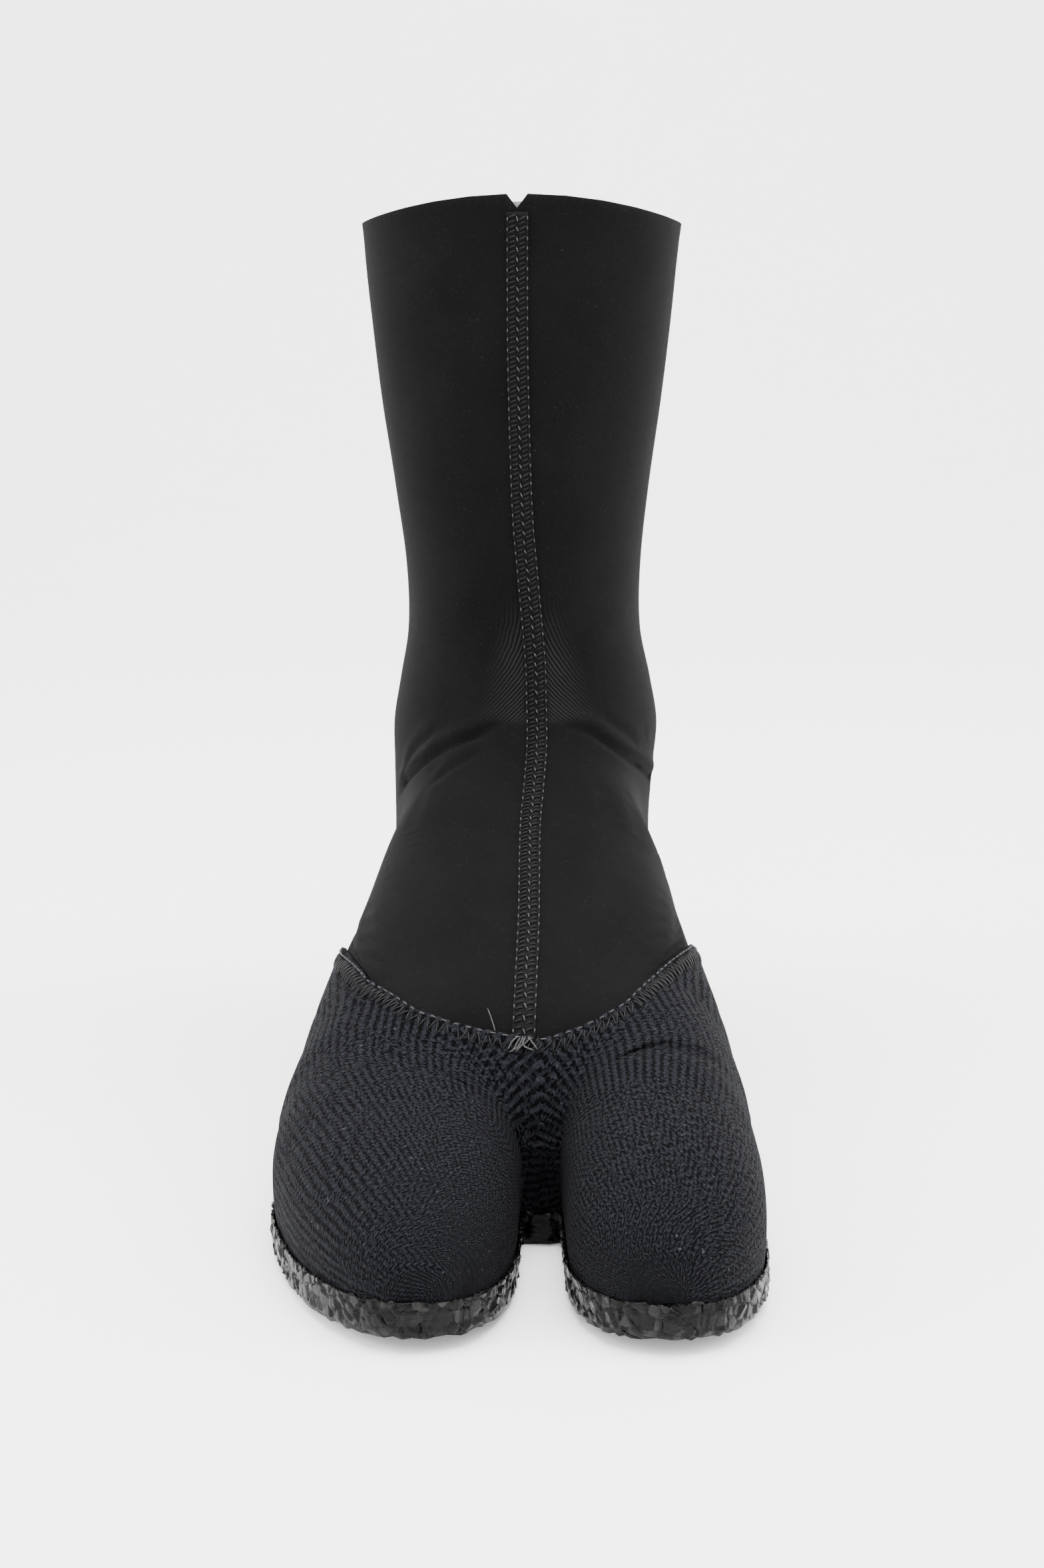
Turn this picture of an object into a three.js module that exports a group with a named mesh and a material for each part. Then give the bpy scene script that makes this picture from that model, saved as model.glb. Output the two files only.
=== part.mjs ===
// A right foot's split-toe neoprene boot: a hollow boot body, a knit toe cover, two raised flat seams,
// a moulded rubber cup sole and an insole. Millimetres, +Z up, the toes point along -Y,
// the big toe is on the +X side, and the origin is on the ground under the middle of the boot.
import * as THREE from "three";

// Driving sizes of the boot body
const footLength = 268;
const ballWidth = 112;
const bootHeight = 241.5;
const instepHeight = 100;
const ankleWidth = 64;
const ankleDepth = 82;
const ankleAxis = 60; // the leg stands this far ahead of the back of the heel
const wall = 3;
const rimDip = 7; // how far the sides of the collar lie below its front and back
const notchDepth = 3.5;

// Driving sizes of the sole and the insole
const soleThickness = 4.5;
const soleLip = 5.5; // height of the rolled edge above the bed of the sole
const soleWall = 2.4;
const lipWall = 1.5;
const edgeBevel = 1.6;
const archRise = 3;
const toeSpring = 3.5;
const insoleThickness = 3;
const heelRoom = 1.2; // the insole stays this much further from the corner of the heel
const webRoom = 3; // and this much further from the web between the toes

// Driving sizes of the toe cover and the flat seams
const coverThickness = 1.3;
const seamWidth = 5.4;
const seamRise = 0.9;
const fit = 0.3; // room between pieces that meet
const sleeveFit = 0.9; // room between the walls of the boot and the sole and insole they stand in

// How softly the forms run into each other, and between which shares of instepHeight or footLength
const sideBlend = 12;
const creaseBlend = 14;
const crease = { from: 0.35, to: 0.95 };
const webBlend = 7;
const leastWeb = 0.007; // share of webBlend where the toes begin
const web = { from: 0.58, to: 0.68 };

// Where each form takes part: shares of footLength, and of instepHeight for the height
const reach = { legTo: 0.6, footFrom: 0.14, footTo: 0.82, toesFrom: 0.56, height: 1.6 };

// Where the ground line rises: the arch and the toe spring, as shares of footLength
const arch = { from: 0.3, to: 0.64 };
const spring = { from: 0.8, to: 1, most: 1.1 };

// Leg and heel: level sections. height is a share of bootHeight, back and front are shares of
// ankleDepth behind and ahead of ankleAxis, and lateral and medial are shares of ankleWidth.
const legSections = [
  { height: -0.04, back: 0.64, front: 0.36, lateral: 0.47, medial: 0.45, square: 2.1 },
  { height: 0.03, back: 0.69, front: 0.38, lateral: 0.5, medial: 0.49, square: 2.1 },
  { height: 0.09, back: 0.725, front: 0.42, lateral: 0.545, medial: 0.54, square: 2.1 },
  { height: 0.15, back: 0.725, front: 0.45, lateral: 0.555, medial: 0.55, square: 2.1 },
  { height: 0.22, back: 0.71, front: 0.48, lateral: 0.555, medial: 0.555, square: 2.1 },
  { height: 0.3, back: 0.68, front: 0.5, lateral: 0.56, medial: 0.56, square: 2.1 },
  { height: 0.36, back: 0.64, front: 0.51, lateral: 0.562, medial: 0.578, square: 2.1 },
  { height: 0.41, back: 0.59, front: 0.515, lateral: 0.56, medial: 0.592, square: 2.1 },
  { height: 0.46, back: 0.54, front: 0.51, lateral: 0.53, medial: 0.56, square: 2.1 },
  { height: 0.52, back: 0.5, front: 0.505, lateral: 0.495, medial: 0.515, square: 2.1 },
  { height: 0.6, back: 0.49, front: 0.51, lateral: 0.5, medial: 0.512, square: 2.15 },
  { height: 0.68, back: 0.505, front: 0.53, lateral: 0.54, medial: 0.54, square: 2.2 },
  { height: 0.78, back: 0.54, front: 0.56, lateral: 0.595, medial: 0.593, square: 2.25 },
  { height: 0.88, back: 0.575, front: 0.58, lateral: 0.64, medial: 0.636, square: 2.3 },
  { height: 1.0, back: 0.61, front: 0.6, lateral: 0.68, medial: 0.678, square: 2.35 },
];

// Instep and ball: upright sections. at is a share of footLength, top, widest and under are shares
// of instepHeight above or below the ground, and lateral and medial are shares of ballWidth.
const footSections = [
  { at: 0.2, top: 0.9, widest: 0.24, lateral: 0.28, medial: 0.28, under: 0.05, square: 2.2 },
  { at: 0.32, top: 1.02, widest: 0.27, lateral: 0.335, medial: 0.335, under: 0.06, square: 2.4 },
  { at: 0.39, top: 0.975, widest: 0.26, lateral: 0.367, medial: 0.372, under: 0.07, square: 2.6 },
  { at: 0.46, top: 0.86, widest: 0.25, lateral: 0.4, medial: 0.39, under: 0.08, square: 2.7 },
  { at: 0.54, top: 0.745, widest: 0.23, lateral: 0.44, medial: 0.422, under: 0.1, square: 2.7 },
  { at: 0.62, top: 0.635, widest: 0.2, lateral: 0.475, medial: 0.455, under: 0.13, square: 2.6 },
  { at: 0.7, top: 0.53, widest: 0.18, lateral: 0.488, medial: 0.462, under: 0.15, square: 2.5 },
  { at: 0.77, top: 0.42, widest: 0.17, lateral: 0.49, medial: 0.465, under: 0.16, square: 2.4 },
];

// The two toe lobes: upright sections. middle and half are shares of ballWidth.
const lateralToes = [
  { at: 0.6, top: 0.5, widest: 0.19, middle: -0.21, half: 0.2, under: 0.16, square: 2.3 },
  { at: 0.7, top: 0.47, widest: 0.18, middle: -0.243, half: 0.245, under: 0.16, square: 2.3 },
  { at: 0.77, top: 0.42, widest: 0.17, middle: -0.258, half: 0.244, under: 0.16, square: 2.3 },
  { at: 0.83, top: 0.375, widest: 0.165, middle: -0.246, half: 0.226, under: 0.16, square: 2.3 },
  { at: 0.89, top: 0.335, widest: 0.155, middle: -0.228, half: 0.205, under: 0.16, square: 2.3 },
  { at: 0.95, top: 0.3, widest: 0.15, middle: -0.209, half: 0.186, under: 0.16, square: 2.3 },
  { at: 1.0, top: 0.28, widest: 0.145, middle: -0.196, half: 0.17, under: 0.16, square: 2.3 },
];
const bigToe = [
  { at: 0.6, top: 0.52, widest: 0.19, middle: 0.22, half: 0.17, under: 0.16, square: 2.3 },
  { at: 0.7, top: 0.5, widest: 0.18, middle: 0.265, half: 0.19, under: 0.16, square: 2.3 },
  { at: 0.77, top: 0.455, widest: 0.175, middle: 0.282, half: 0.189, under: 0.16, square: 2.3 },
  { at: 0.83, top: 0.41, widest: 0.17, middle: 0.287, half: 0.188, under: 0.16, square: 2.3 },
  { at: 0.89, top: 0.37, widest: 0.16, middle: 0.285, half: 0.182, under: 0.16, square: 2.3 },
  { at: 0.95, top: 0.33, widest: 0.155, middle: 0.279, half: 0.174, under: 0.16, square: 2.3 },
  { at: 1.0, top: 0.305, widest: 0.15, middle: 0.274, half: 0.166, under: 0.16, square: 2.3 },
];

// Where each form's round nose begins and ends, as shares of footLength
const footNose = { from: 0.7, to: 0.765, round: 2 };
const lateralNose = { from: 0.84, to: 0.995, round: 2.3 };
const bigNose = { from: 0.87, to: 1.0, round: 2.3 };
const noseDrop = 0.85; // a nose's middle sinks to this share of its height
const noseEnd = 0.02; // a nose is closed below this share of its size
const beyondNose = 6; // distance given to places ahead of a closed nose

// Rows round the boot, each in a plane that runs across it. edge and top are shares of footLength,
// where the plane meets the bed of the sole (or the back line of the leg, at edgeHeight)
// and where it crosses the top line. edgeHeight and topHeight are shares of bootHeight.
const rows = [
  { edgeHeight: 1.0, top: 0.41, topHeight: 1.0 },
  { edgeHeight: 0.9, top: 0.4, topHeight: 0.9 },
  { edgeHeight: 0.79, top: 0.4, topHeight: 0.79 },
  { edgeHeight: 0.69, top: 0.39, topHeight: 0.695 },
  { edgeHeight: 0.595, top: 0.39, topHeight: 0.61 },
  { edgeHeight: 0.51, top: 0.38, topHeight: 0.54 },
  { edgeHeight: 0.43, top: 0.38, topHeight: 0.49 },
  { edgeHeight: 0.35, top: 0.385, topHeight: 0.452 },
  { edgeHeight: 0.27, top: 0.392, topHeight: 0.424 },
  { edgeHeight: 0.195, top: 0.405, topHeight: 0.4 },
  { edgeHeight: 0.13, top: 0.425, topHeight: 0.378 },
  { edgeHeight: 0.075, top: 0.445, topHeight: 0.36 },
  { edge: 0.0, top: 0.465, topHeight: 0.345 },
  { edge: 0.0034, top: 0.473, topHeight: 0.339 },
  { edge: 0.0131, top: 0.482, topHeight: 0.333 },
  { edge: 0.0287, top: 0.491, topHeight: 0.327 },
  { edge: 0.0493, top: 0.501, topHeight: 0.321 },
  { edge: 0.0735, top: 0.513, topHeight: 0.314 },
  { edge: 0.112, top: 0.531, topHeight: 0.304 },
  { edge: 0.168, top: 0.556, topHeight: 0.291 },
  { edge: 0.236, top: 0.583, topHeight: 0.276 },
  { edge: 0.31, top: 0.611, topHeight: 0.26 },
  { edge: 0.39, top: 0.64, topHeight: 0.244 },
  { edge: 0.47, top: 0.67, topHeight: 0.226 },
  { edge: 0.545, top: 0.697, topHeight: 0.211 },
  { edge: 0.622, top: 0.7275, topHeight: 0.194 },
  { edge: 0.66, top: 0.742, topHeight: 0.185 },
  { edge: 0.695, top: 0.757, topHeight: 0.178 },
  { edge: 0.738, top: 0.772, topHeight: 0.168 },
  { edge: 0.7435, top: 0.7775, topHeight: 0.167 },
  { edge: 0.755, top: 0.782, topHeight: 0.164 },
  { edge: 0.781, top: 0.8, topHeight: 0.157 },
  { edge: 0.805, top: 0.818, topHeight: 0.15 },
  { edge: 0.84, top: 0.848, topHeight: 0.14 },
  { edge: 0.873, top: 0.88, topHeight: 0.13 },
  { edge: 0.905, top: 0.912, topHeight: 0.12 },
  { edge: 0.933, top: 0.942, topHeight: 0.11 },
  { edge: 0.956, top: 0.968, topHeight: 0.09 },
  { edge: 0.972, top: 0.989, topHeight: 0.07 },
];
const heelRow = 12; // the last closed row, which ends at the back of the sole
const crotchRow = 29; // the row at the web between the toes
const coverRow = 25; // the toe cover's rear edge runs along this row
const spreadRow = 16; // rays spread from the axis towards the toe lobes from this row on
const edgeStep = 4; // the first step of the grid up from the sole
const columns = 17; // steps from the outer edge to the middle of each half
const traceSteps = 44;
const tip = rows.length; // stands for the foremost point of each toe lobe

// The toe cover's rear edge sweeps back from the middle: rows of sweep at shares of the half's girth
const coverSweep = [
  { share: 0, lateral: 2.8, medial: 2.8 },
  { share: 0.15, lateral: 3.1, medial: 3.1 },
  { share: 0.35, lateral: 4.0, medial: 3.9 },
  { share: 0.5, lateral: 4.9, medial: 4.6 },
  { share: 0.59, lateral: 5.1, medial: 4.9 },
  { share: 0.65, lateral: 2.8, medial: 4.8 },
  { share: 0.7, lateral: 1.1, medial: 3.2 },
  { share: 0.76, lateral: 0.55, medial: 1.4 },
  { share: 0.82, lateral: 0.3, medial: 0.72 },
  { share: 0.92, lateral: 0.07, medial: 0.23 },
  { share: 1, lateral: 0, medial: 0 },
];
const sweepEnd = 35; // the sweep runs out at this row

// The front seam wanders sideways on its way down: row and share of ankleWidth towards the big toe
const seamPath = [
  { row: 0, shift: -0.02 },
  { row: 3, shift: 0.01 },
  { row: 5, shift: 0.04 },
  { row: 7, shift: 0.06 },
  { row: 9, shift: 0.05 },
  { row: 12, shift: 0.03 },
  { row: 20, shift: 0.04 },
  { row: 25, shift: 0.02 },
  { row: 29, shift: 0.0 },
];
const sway = { from: 0.35, to: 0.85 }; // the grid follows the seam between these shares of the girth
const seamShoulder = 0.75; // the seam's height at its edges, a share of seamRise
const seamShort = 0.08; // the front seam stops this share of a row short of the toe cover
const webMiddle = 0.036; // the middle of the gap between the toes, a share of ballWidth from the axis
const gapLine = { from: 0.55, to: 0.72 }; // it leaves the axis between these shares of footLength
const gapAhead = 20; // how far ahead of a row's edge its middle is read
const innerLift = 2.5; // rays start this far above the bed of the sole, inside the boot
const backLift = 2; // and this far ahead of the back line of the leg
const tipPlace = { from: 0.9, middle: 0.97 }; // where the foremost points are looked for
const lipBend = 0.4; // where the rolled edge of the sole bends, a share of soleLip
const lipSearch = 10; // the boot's side at the lip is looked for from this far inside
const planSteps = 3; // steps from the edge of the sole to its middle

const clamp = (value, low, high) => Math.min(Math.max(value, low), high);
const mix = (from, to, share) => from + (to - from) * share;
const smooth = (share) => share * share * (3 - 2 * share);
const ramp = (value, { from, to }) => smooth(clamp((value - from) / (to - from), 0, 1));
const range = (first, last) => Array.from({ length: last - first + 1 }, (_, i) => first + i);

// A smooth curve through a table's rows: the value of one column at a place along the key column
function read(table, key, column, place) {
  const last = table.length - 1;
  if (place <= table[0][key]) return table[0][column];
  if (place >= table[last][key]) return table[last][column];
  let i = 0;
  while (table[i + 1][key] < place) i++;
  const slope = (j) => {
    const before = table[Math.max(j - 1, 0)];
    const after = table[Math.min(j + 1, last)];
    return (after[column] - before[column]) / (after[key] - before[key]);
  };
  const span = table[i + 1][key] - table[i][key];
  const t = (place - table[i][key]) / span;
  const rise = 3 * t * t - 2 * t * t * t;
  const leave = t * (1 - t) * (1 - t) * span * slope(i);
  const arrive = t * t * (t - 1) * span * slope(i + 1);
  return mix(table[i][column], table[i + 1][column], rise) + leave + arrive;
}

// The ground line under the sole and the bed on top of it, along the foot
function ground(along) {
  const share = along / footLength;
  const inArch = clamp((share - arch.from) / (arch.to - arch.from), 0, 1);
  const inSpring = clamp((share - spring.from) / (spring.to - spring.from), 0, spring.most);
  return archRise * Math.sin(Math.PI * inArch) ** 2 + toeSpring * inSpring ** 2;
}
const bed = (along) => ground(along) + soleThickness + fit;

// Distance of a point from a section's outline, measured from the section's middle: negative inside
function outline(across, up, halfAcross, halfUp, square) {
  const away = Math.hypot(across, up);
  if (away < 1e-6) return -Math.min(halfAcross, halfUp);
  const power = (value, half) => (Math.abs(value) / half) ** square;
  const ratio = (power(across, halfAcross) + power(up, halfUp)) ** (1 / square);
  return away * (1 - 1 / ratio);
}

function legForm(x, along, z) {
  const height = z / bootHeight;
  const get = (column) => read(legSections, "height", column, height);
  const back = get("back") * ankleDepth;
  const front = get("front") * ankleDepth;
  const middle = ankleAxis + (front - back) / 2;
  const halfWidth = (x < 0 ? get("lateral") : get("medial")) * ankleWidth;
  return outline(x, along - middle, halfWidth, (front + back) / 2, get("square"));
}

function noseShare(nose, along) {
  const t = (along / footLength - nose.from) / (nose.to - nose.from);
  if (t <= 0) return 1;
  return t >= 1 ? 0 : (1 - t ** nose.round) ** (1 / nose.round);
}

// A form with upright sections, closed in front by a round nose
function archForm(table, nose, x, along, z, middle, half) {
  const size = noseShare(nose, along);
  const beyond = along - nose.to * footLength;
  if (size < noseEnd) return Math.max(beyond, 0) + beyondNose;
  const at = along / footLength;
  const widest = read(table, "at", "widest", at) * instepHeight;
  const top = read(table, "at", "top", at) * instepHeight;
  const under = read(table, "at", "under", at) * instepHeight;
  const centre = mix(widest * noseDrop, widest, size);
  const halfUp = z > centre ? mix(0, top - centre, size) : (centre + under) * size;
  return outline(x - middle, z - centre, half * size, halfUp, read(table, "at", "square", at));
}

function footForm(x, along, z) {
  const column = x < 0 ? "lateral" : "medial";
  const half = read(footSections, "at", column, along / footLength) * ballWidth;
  return archForm(footSections, footNose, x, along, z, 0, half);
}

function toeForm(table, nose, x, along, z) {
  const middle = read(table, "at", "middle", along / footLength) * ballWidth;
  const half = read(table, "at", "half", along / footLength) * ballWidth;
  return archForm(table, nose, x, along, z, middle, half);
}

function join(first, second, blend) {
  const share = Math.max(blend - Math.abs(first - second), 0) / blend;
  return Math.min(first, second) - (share * share * blend) / 4;
}

// The outside of the boot body: negative inside, zero on the surface
function body(x, along, z) {
  const share = along / footLength;
  let distance = Infinity;
  if (share < reach.legTo) distance = legForm(x, along, z);
  if (z >= instepHeight * reach.height) return distance;
  if (share > reach.footFrom && share < reach.footTo) {
    const blend = mix(sideBlend, creaseBlend, ramp(z / instepHeight, crease));
    distance = join(distance, footForm(x, along, z), blend);
  }
  if (share > reach.toesFrom) {
    const blend = webBlend * Math.max(ramp(share, web), leastWeb);
    distance = join(distance, toeForm(lateralToes, lateralNose, x, along, z), blend);
    distance = join(distance, toeForm(bigToe, bigNose, x, along, z), blend);
  }
  return distance;
}

function normalAt([x, along, z]) {
  const h = 0.2;
  const slope = new THREE.Vector3(
    body(x + h, along, z) - body(x - h, along, z),
    body(x, along + h, z) - body(x, along - h, z),
    body(x, along, z + h) - body(x, along, z - h),
  );
  return slope.normalize();
}

// The first place where a ray from inside the boot leaves its surface
function leave(inside) {
  const step = 3;
  let far = step;
  while (far < 220 && inside(far) < 0) far += step;
  let near = far - step;
  for (let i = 0; i < 16; i++) {
    const middle = (near + far) / 2;
    if (inside(middle) < 0) near = middle;
    else far = middle;
  }
  return near;
}

// The back of the heel, at the height of the sole's bed
const heelBack = ankleAxis - leave((s) => legForm(0, ankleAxis - s, soleThickness + fit));

// The plane of a row of the table: where it meets the bed or the back line, and how it tilts
function rowPlane({ edge, edgeHeight, top, topHeight }) {
  const onLeg = edgeHeight !== undefined;
  const legBack = () => ankleAxis - read(legSections, "height", "back", edgeHeight) * ankleDepth;
  const along = onLeg ? legBack() : heelBack + edge * footLength;
  const low = onLeg ? edgeHeight * bootHeight : bed(along);
  return { along, low, tilt: Math.atan2(topHeight * bootHeight - low, top * footLength - along) };
}

// The same for a place between two rows of the table
function plane(row) {
  const index = clamp(Math.floor(row), 0, rows.length - 2);
  const share = row - index;
  const [first, second] = [rows[index], rows[index + 1]].map(rowPlane);
  const along = mix(first.along, second.along, share);
  const low = row < heelRow ? mix(first.low, second.low, share) : bed(along);
  return { along, low, tilt: mix(first.tilt, second.tilt, share) };
}

const middleX = (along) => webMiddle * ballWidth * ramp(along / footLength, gapLine);

// One half of a row's outline, from its outer or back edge to the middle: side is -1 or 1.
// crest is its length up to the place right above the middle of the rays.
const traced = new Map();
function trace(row, side) {
  const name = row.toFixed(4) + " " + side;
  if (traced.has(name)) return traced.get(name);
  const { along, low, tilt } = plane(row);
  const forward = Math.cos(tilt);
  const upward = Math.sin(tilt);
  const place = (x, s) => [x, along + s * forward, low + s * upward];
  const closed = row <= heelRow + 1e-6;
  const split = !closed && body(...place(middleX(along), 1)) > 0;
  const depth = closed ? leave((s) => body(...place(0, s + backLift))) : 0;
  const table = side < 0 ? lateralToes : bigToe;
  const lobe = read(table, "at", "middle", along / footLength) * ballWidth;
  const centreX = closed ? 0 : lobe * ramp(row, { from: spreadRow, to: crotchRow });
  const centreS = closed ? depth / 2 + backLift : innerLift;
  const hit = (angle) => {
    const dx = Math.cos(angle) * side;
    const ds = Math.sin(angle);
    const away = leave((r) => body(...place(centreX + dx * r, centreS + ds * r)));
    return [centreX + dx * away, centreS + ds * away];
  };
  let start = [0, 0];
  let end = null;
  let from = -Math.PI / 2;
  let to = Math.PI / 2;
  if (!closed) {
    const out = leave((r) => body(...place(centreX + side * r, 0)));
    start = [centreX + side * out, 0];
    from = Math.atan2(-centreS, out);
    if (split) {
      const back = leave((r) => body(...place(centreX - side * r, 0)));
      end = [centreX - side * back, 0];
      to = Math.PI - Math.atan2(-centreS, back);
    } else {
      const x = middleX(along + gapAhead);
      const up = leave((r) => body(...place(x, centreS + r)));
      end = [x, centreS + up];
      to = Math.atan2(up, (x - centreX) * side);
    }
  }
  const points = [];
  for (let i = 0; i <= traceSteps; i++) {
    if (!closed && i === 0) points.push(start);
    else if (end && i === traceSteps) points.push(end);
    else points.push(hit(mix(from, to, i / traceSteps)));
  }
  const lengths = [0];
  for (let i = 1; i < points.length; i++) {
    const [x0, s0] = points[i - 1];
    const [x1, s1] = points[i];
    lengths.push(lengths[i - 1] + Math.hypot(x1 - x0, s1 - s0));
  }
  const total = lengths[traceSteps];
  const crestStep = clamp(((Math.PI / 2 - from) / (to - from)) * traceSteps, 1, traceSteps);
  const crestLow = Math.ceil(crestStep) - 1;
  const crest = mix(lengths[crestLow], lengths[crestLow + 1], crestStep - crestLow);
  const curve = { points, lengths, place, total, crest };
  traced.set(name, curve);
  return curve;
}

function alongTrace(row, side, distance) {
  const { points, lengths, place, total } = trace(row, side);
  const wanted = clamp(distance, 0, total);
  let i = 0;
  while (i < lengths.length - 2 && lengths[i + 1] < wanted) i++;
  const share = (wanted - lengths[i]) / (lengths[i + 1] - lengths[i] || 1);
  return place(mix(points[i][0], points[i + 1][0], share), mix(points[i][1], points[i + 1][1], share));
}

// Grid point of the boot body's outside: rows run down the leg and along the foot,
// column 0 is the outer edge or the back, and the last column is the middle or the inner edge
function skin(row, column, side) {
  if (row === 0) return collar(column, side);
  const first = row <= heelRow ? seamWidth / 2 : edgeStep;
  const last = row <= crotchRow ? seamWidth / 2 : edgeStep;
  const place = (total) => {
    if (column === 0) return 0;
    if (column === columns) return total;
    return mix(first, total - last, (column - 1) / (columns - 2));
  };
  const plain = trace(row, side);
  const girth = place(plain.total) / plain.total;
  const rising = (row - heelRow) / (coverRow - heelRow);
  const falling = (sweepEnd - row) / (sweepEnd - coverRow);
  const most = read(coverSweep, "share", side < 0 ? "lateral" : "medial", girth);
  const swept = row - most * clamp(Math.min(rising, falling), 0, 1);
  const there = trace(swept, side);
  const grown = row > crotchRow ? place(plain.total) * (there.crest / plain.crest) : place(there.total);
  const point = alongTrace(swept, side, grown);
  if (row > crotchRow) return point;
  if (column === columns && row === crotchRow) return webFoot();
  point[0] += read(seamPath, "row", "shift", row) * ankleWidth * ramp(girth, sway);
  return settle(point);
}

// Moves a point the short way onto the surface
function settle(point) {
  const off = body(...point);
  const normal = normalAt(point);
  return [point[0] - normal.x * off, point[1] - normal.y * off, point[2] - normal.z * off];
}

// The foot of the web between the toes, in the middle of the gap
function webFoot() {
  const x = webMiddle * ballWidth;
  const from = footNose.from * footLength;
  const place = (ahead) => [x, from + ahead, bed(from + ahead)];
  return place(leave((ahead) => body(...place(ahead))));
}

// The collar: the sides dip, and a notch is cut where the front seam starts
function collar(column, side) {
  const point = settle(skin(1e-6, column, side));
  const halfWidth = read(legSections, "height", side < 0 ? "lateral" : "medial", 1) * ankleWidth;
  point[2] -= rimDip * (Math.abs(point[0]) / halfWidth) ** 2;
  if (column === columns) point[2] -= notchDepth;
  return point;
}

// Vertices of the boot body's grid, shared where the halves meet
const grid = new Map();
function corner(row, column, side) {
  const onBack = column === 0 && row <= heelRow;
  const onFront = column === columns && row <= crotchRow;
  const shared = onBack || onFront;
  const name = row === tip ? "tip " + side : [row, column, shared ? "" : side].join(" ");
  if (grid.has(name)) return grid.get(name);
  let at;
  if (row === tip) at = toeTip(side);
  else if (shared) {
    const [left, right] = [-1, 1].map((half) => skin(row, column, half));
    at = left.map((value, i) => (value + right[i]) / 2);
  } else at = skin(row, column, side);
  const outerEdge = column === 0 && row >= heelRow;
  const innerEdge = column === columns && row >= crotchRow;
  const onBed = row === tip || outerEdge || innerEdge;
  if (onBed) at[2] = bed(at[1]);
  const normal = normalAt(at);
  if (onBed || row === 0) normal.setZ(0).normalize();
  const vertex = { name, row, column, side, at, normal };
  grid.set(name, vertex);
  return vertex;
}

// The foremost point of a toe lobe on the bed of the sole
function toeTip(side) {
  const table = side < 0 ? lateralToes : bigToe;
  const from = tipPlace.from * footLength;
  const x = read(table, "at", "middle", tipPlace.middle) * ballWidth;
  const place = (ahead) => [x, from + ahead, bed(from + ahead)];
  return place(leave((ahead) => body(...place(ahead))));
}

// The same face seen from its other side, still split from its first corner
const turned = ([first, ...others]) => [first, ...others.reverse()];

// Faces of the grid between two rows, over some of the columns, as lists of vertices facing out
function faces(firstRow, lastRow, firstColumn = 0, lastColumn = columns) {
  const list = [];
  for (const side of [-1, 1]) {
    for (let row = firstRow; row < lastRow; row++) {
      for (let column = firstColumn; column < lastColumn; column++) {
        const quad = [
          corner(row, column + 1, side),
          corner(row, column, side),
          corner(row + 1, column, side),
          corner(row + 1, column + 1, side),
        ].filter((vertex, i, all) => all.indexOf(vertex) === i);
        list.push(side < 0 ? turned(quad) : quad);
      }
    }
  }
  return list;
}

// A point off a grid vertex, along its normal
const off = ({ at, normal }, distance) => [
  at[0] + normal.x * distance,
  at[1] + normal.y * distance,
  at[2] + normal.z * distance,
];

// A closed solid between two skins over the same faces, with sides along the open edges
function shell(list, outside, inside) {
  const solid = solidMaker();
  const edges = new Map();
  for (const face of list) {
    const outer = face.map((vertex) => solid.vertex("out " + vertex.name, () => outside(vertex)));
    const inner = face.map((vertex) => solid.vertex("in " + vertex.name, () => inside(vertex)));
    solid.face(outer);
    solid.face(turned(inner));
    face.forEach((vertex, i) => {
      const next = face[(i + 1) % face.length];
      const back = next.name + ">" + vertex.name;
      if (edges.has(back)) edges.delete(back);
      else edges.set(vertex.name + ">" + next.name, [vertex, next]);
    });
  }
  for (const [first, second] of edges.values()) {
    const named = (skinName, vertex) => solid.vertex(skinName + vertex.name);
    solid.face([named("in ", first), named("in ", second), named("out ", second), named("out ", first)]);
  }
  return solid.geometry();
}

// Collects named vertices and flat faces into one geometry, in the boot's frame
function solidMaker() {
  const places = [];
  const names = new Map();
  const triangles = [];
  return {
    vertex(name, make) {
      if (!names.has(name)) {
        const [x, along, z] = make();
        names.set(name, places.length / 3);
        places.push(x, footLength / 2 - along, z);
      }
      return names.get(name);
    },
    face(corners) {
      for (let i = 2; i < corners.length; i++) triangles.push(corners[0], corners[i], corners[i - 1]);
    },
    geometry() {
      const geometry = new THREE.BufferGeometry();
      geometry.setAttribute("position", new THREE.Float32BufferAttribute(places, 3));
      geometry.setIndex(triangles);
      geometry.computeVertexNormals();
      return geometry;
    },
  };
}

function makeUpper() {
  return shell(
    faces(0, tip),
    (vertex) => vertex.at,
    (vertex) => off(vertex, -wall),
  );
}

function makeToeCover() {
  return shell(
    faces(coverRow, tip),
    (vertex) => off(vertex, fit + coverThickness),
    (vertex) => off(vertex, fit),
  );
}

// A flat seam lies over the two strips of the grid beside the middle or the back.
// Its end may stop a little short of its last row.
function makeSeam(lastRow, firstColumn, ridgeColumn, short) {
  const crown = ({ column }) => fit + seamRise * (column === ridgeColumn ? 1 : seamShoulder);
  const lifted = (vertex, distance) => {
    const point = off(vertex, distance);
    if (vertex.row < lastRow || short === 0) return point;
    const before = off(corner(vertex.row - 1, vertex.column, vertex.side), distance);
    return point.map((value, i) => mix(value, before[i], short));
  };
  return shell(
    faces(0, lastRow, firstColumn, firstColumn + 1),
    (vertex) => lifted(vertex, crown(vertex)),
    (vertex) => lifted(vertex, fit),
  );
}

// The sole's outline: grid vertices on the bed, from the heel round the big toe to the lateral side
function outlineLoop() {
  const outer = (side) => range(heelRow + 1, tip - 1).map((row) => corner(row, 0, side));
  const inner = (side) => range(crotchRow + 1, tip - 1).map((row) => corner(row, columns, side));
  return [
    corner(heelRow, 0, 1),
    ...outer(1),
    corner(tip, 0, 1),
    ...inner(1).reverse(),
    corner(crotchRow, columns, 1),
    ...inner(-1),
    corner(tip, 0, -1),
    ...outer(-1).reverse(),
  ];
}

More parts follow.
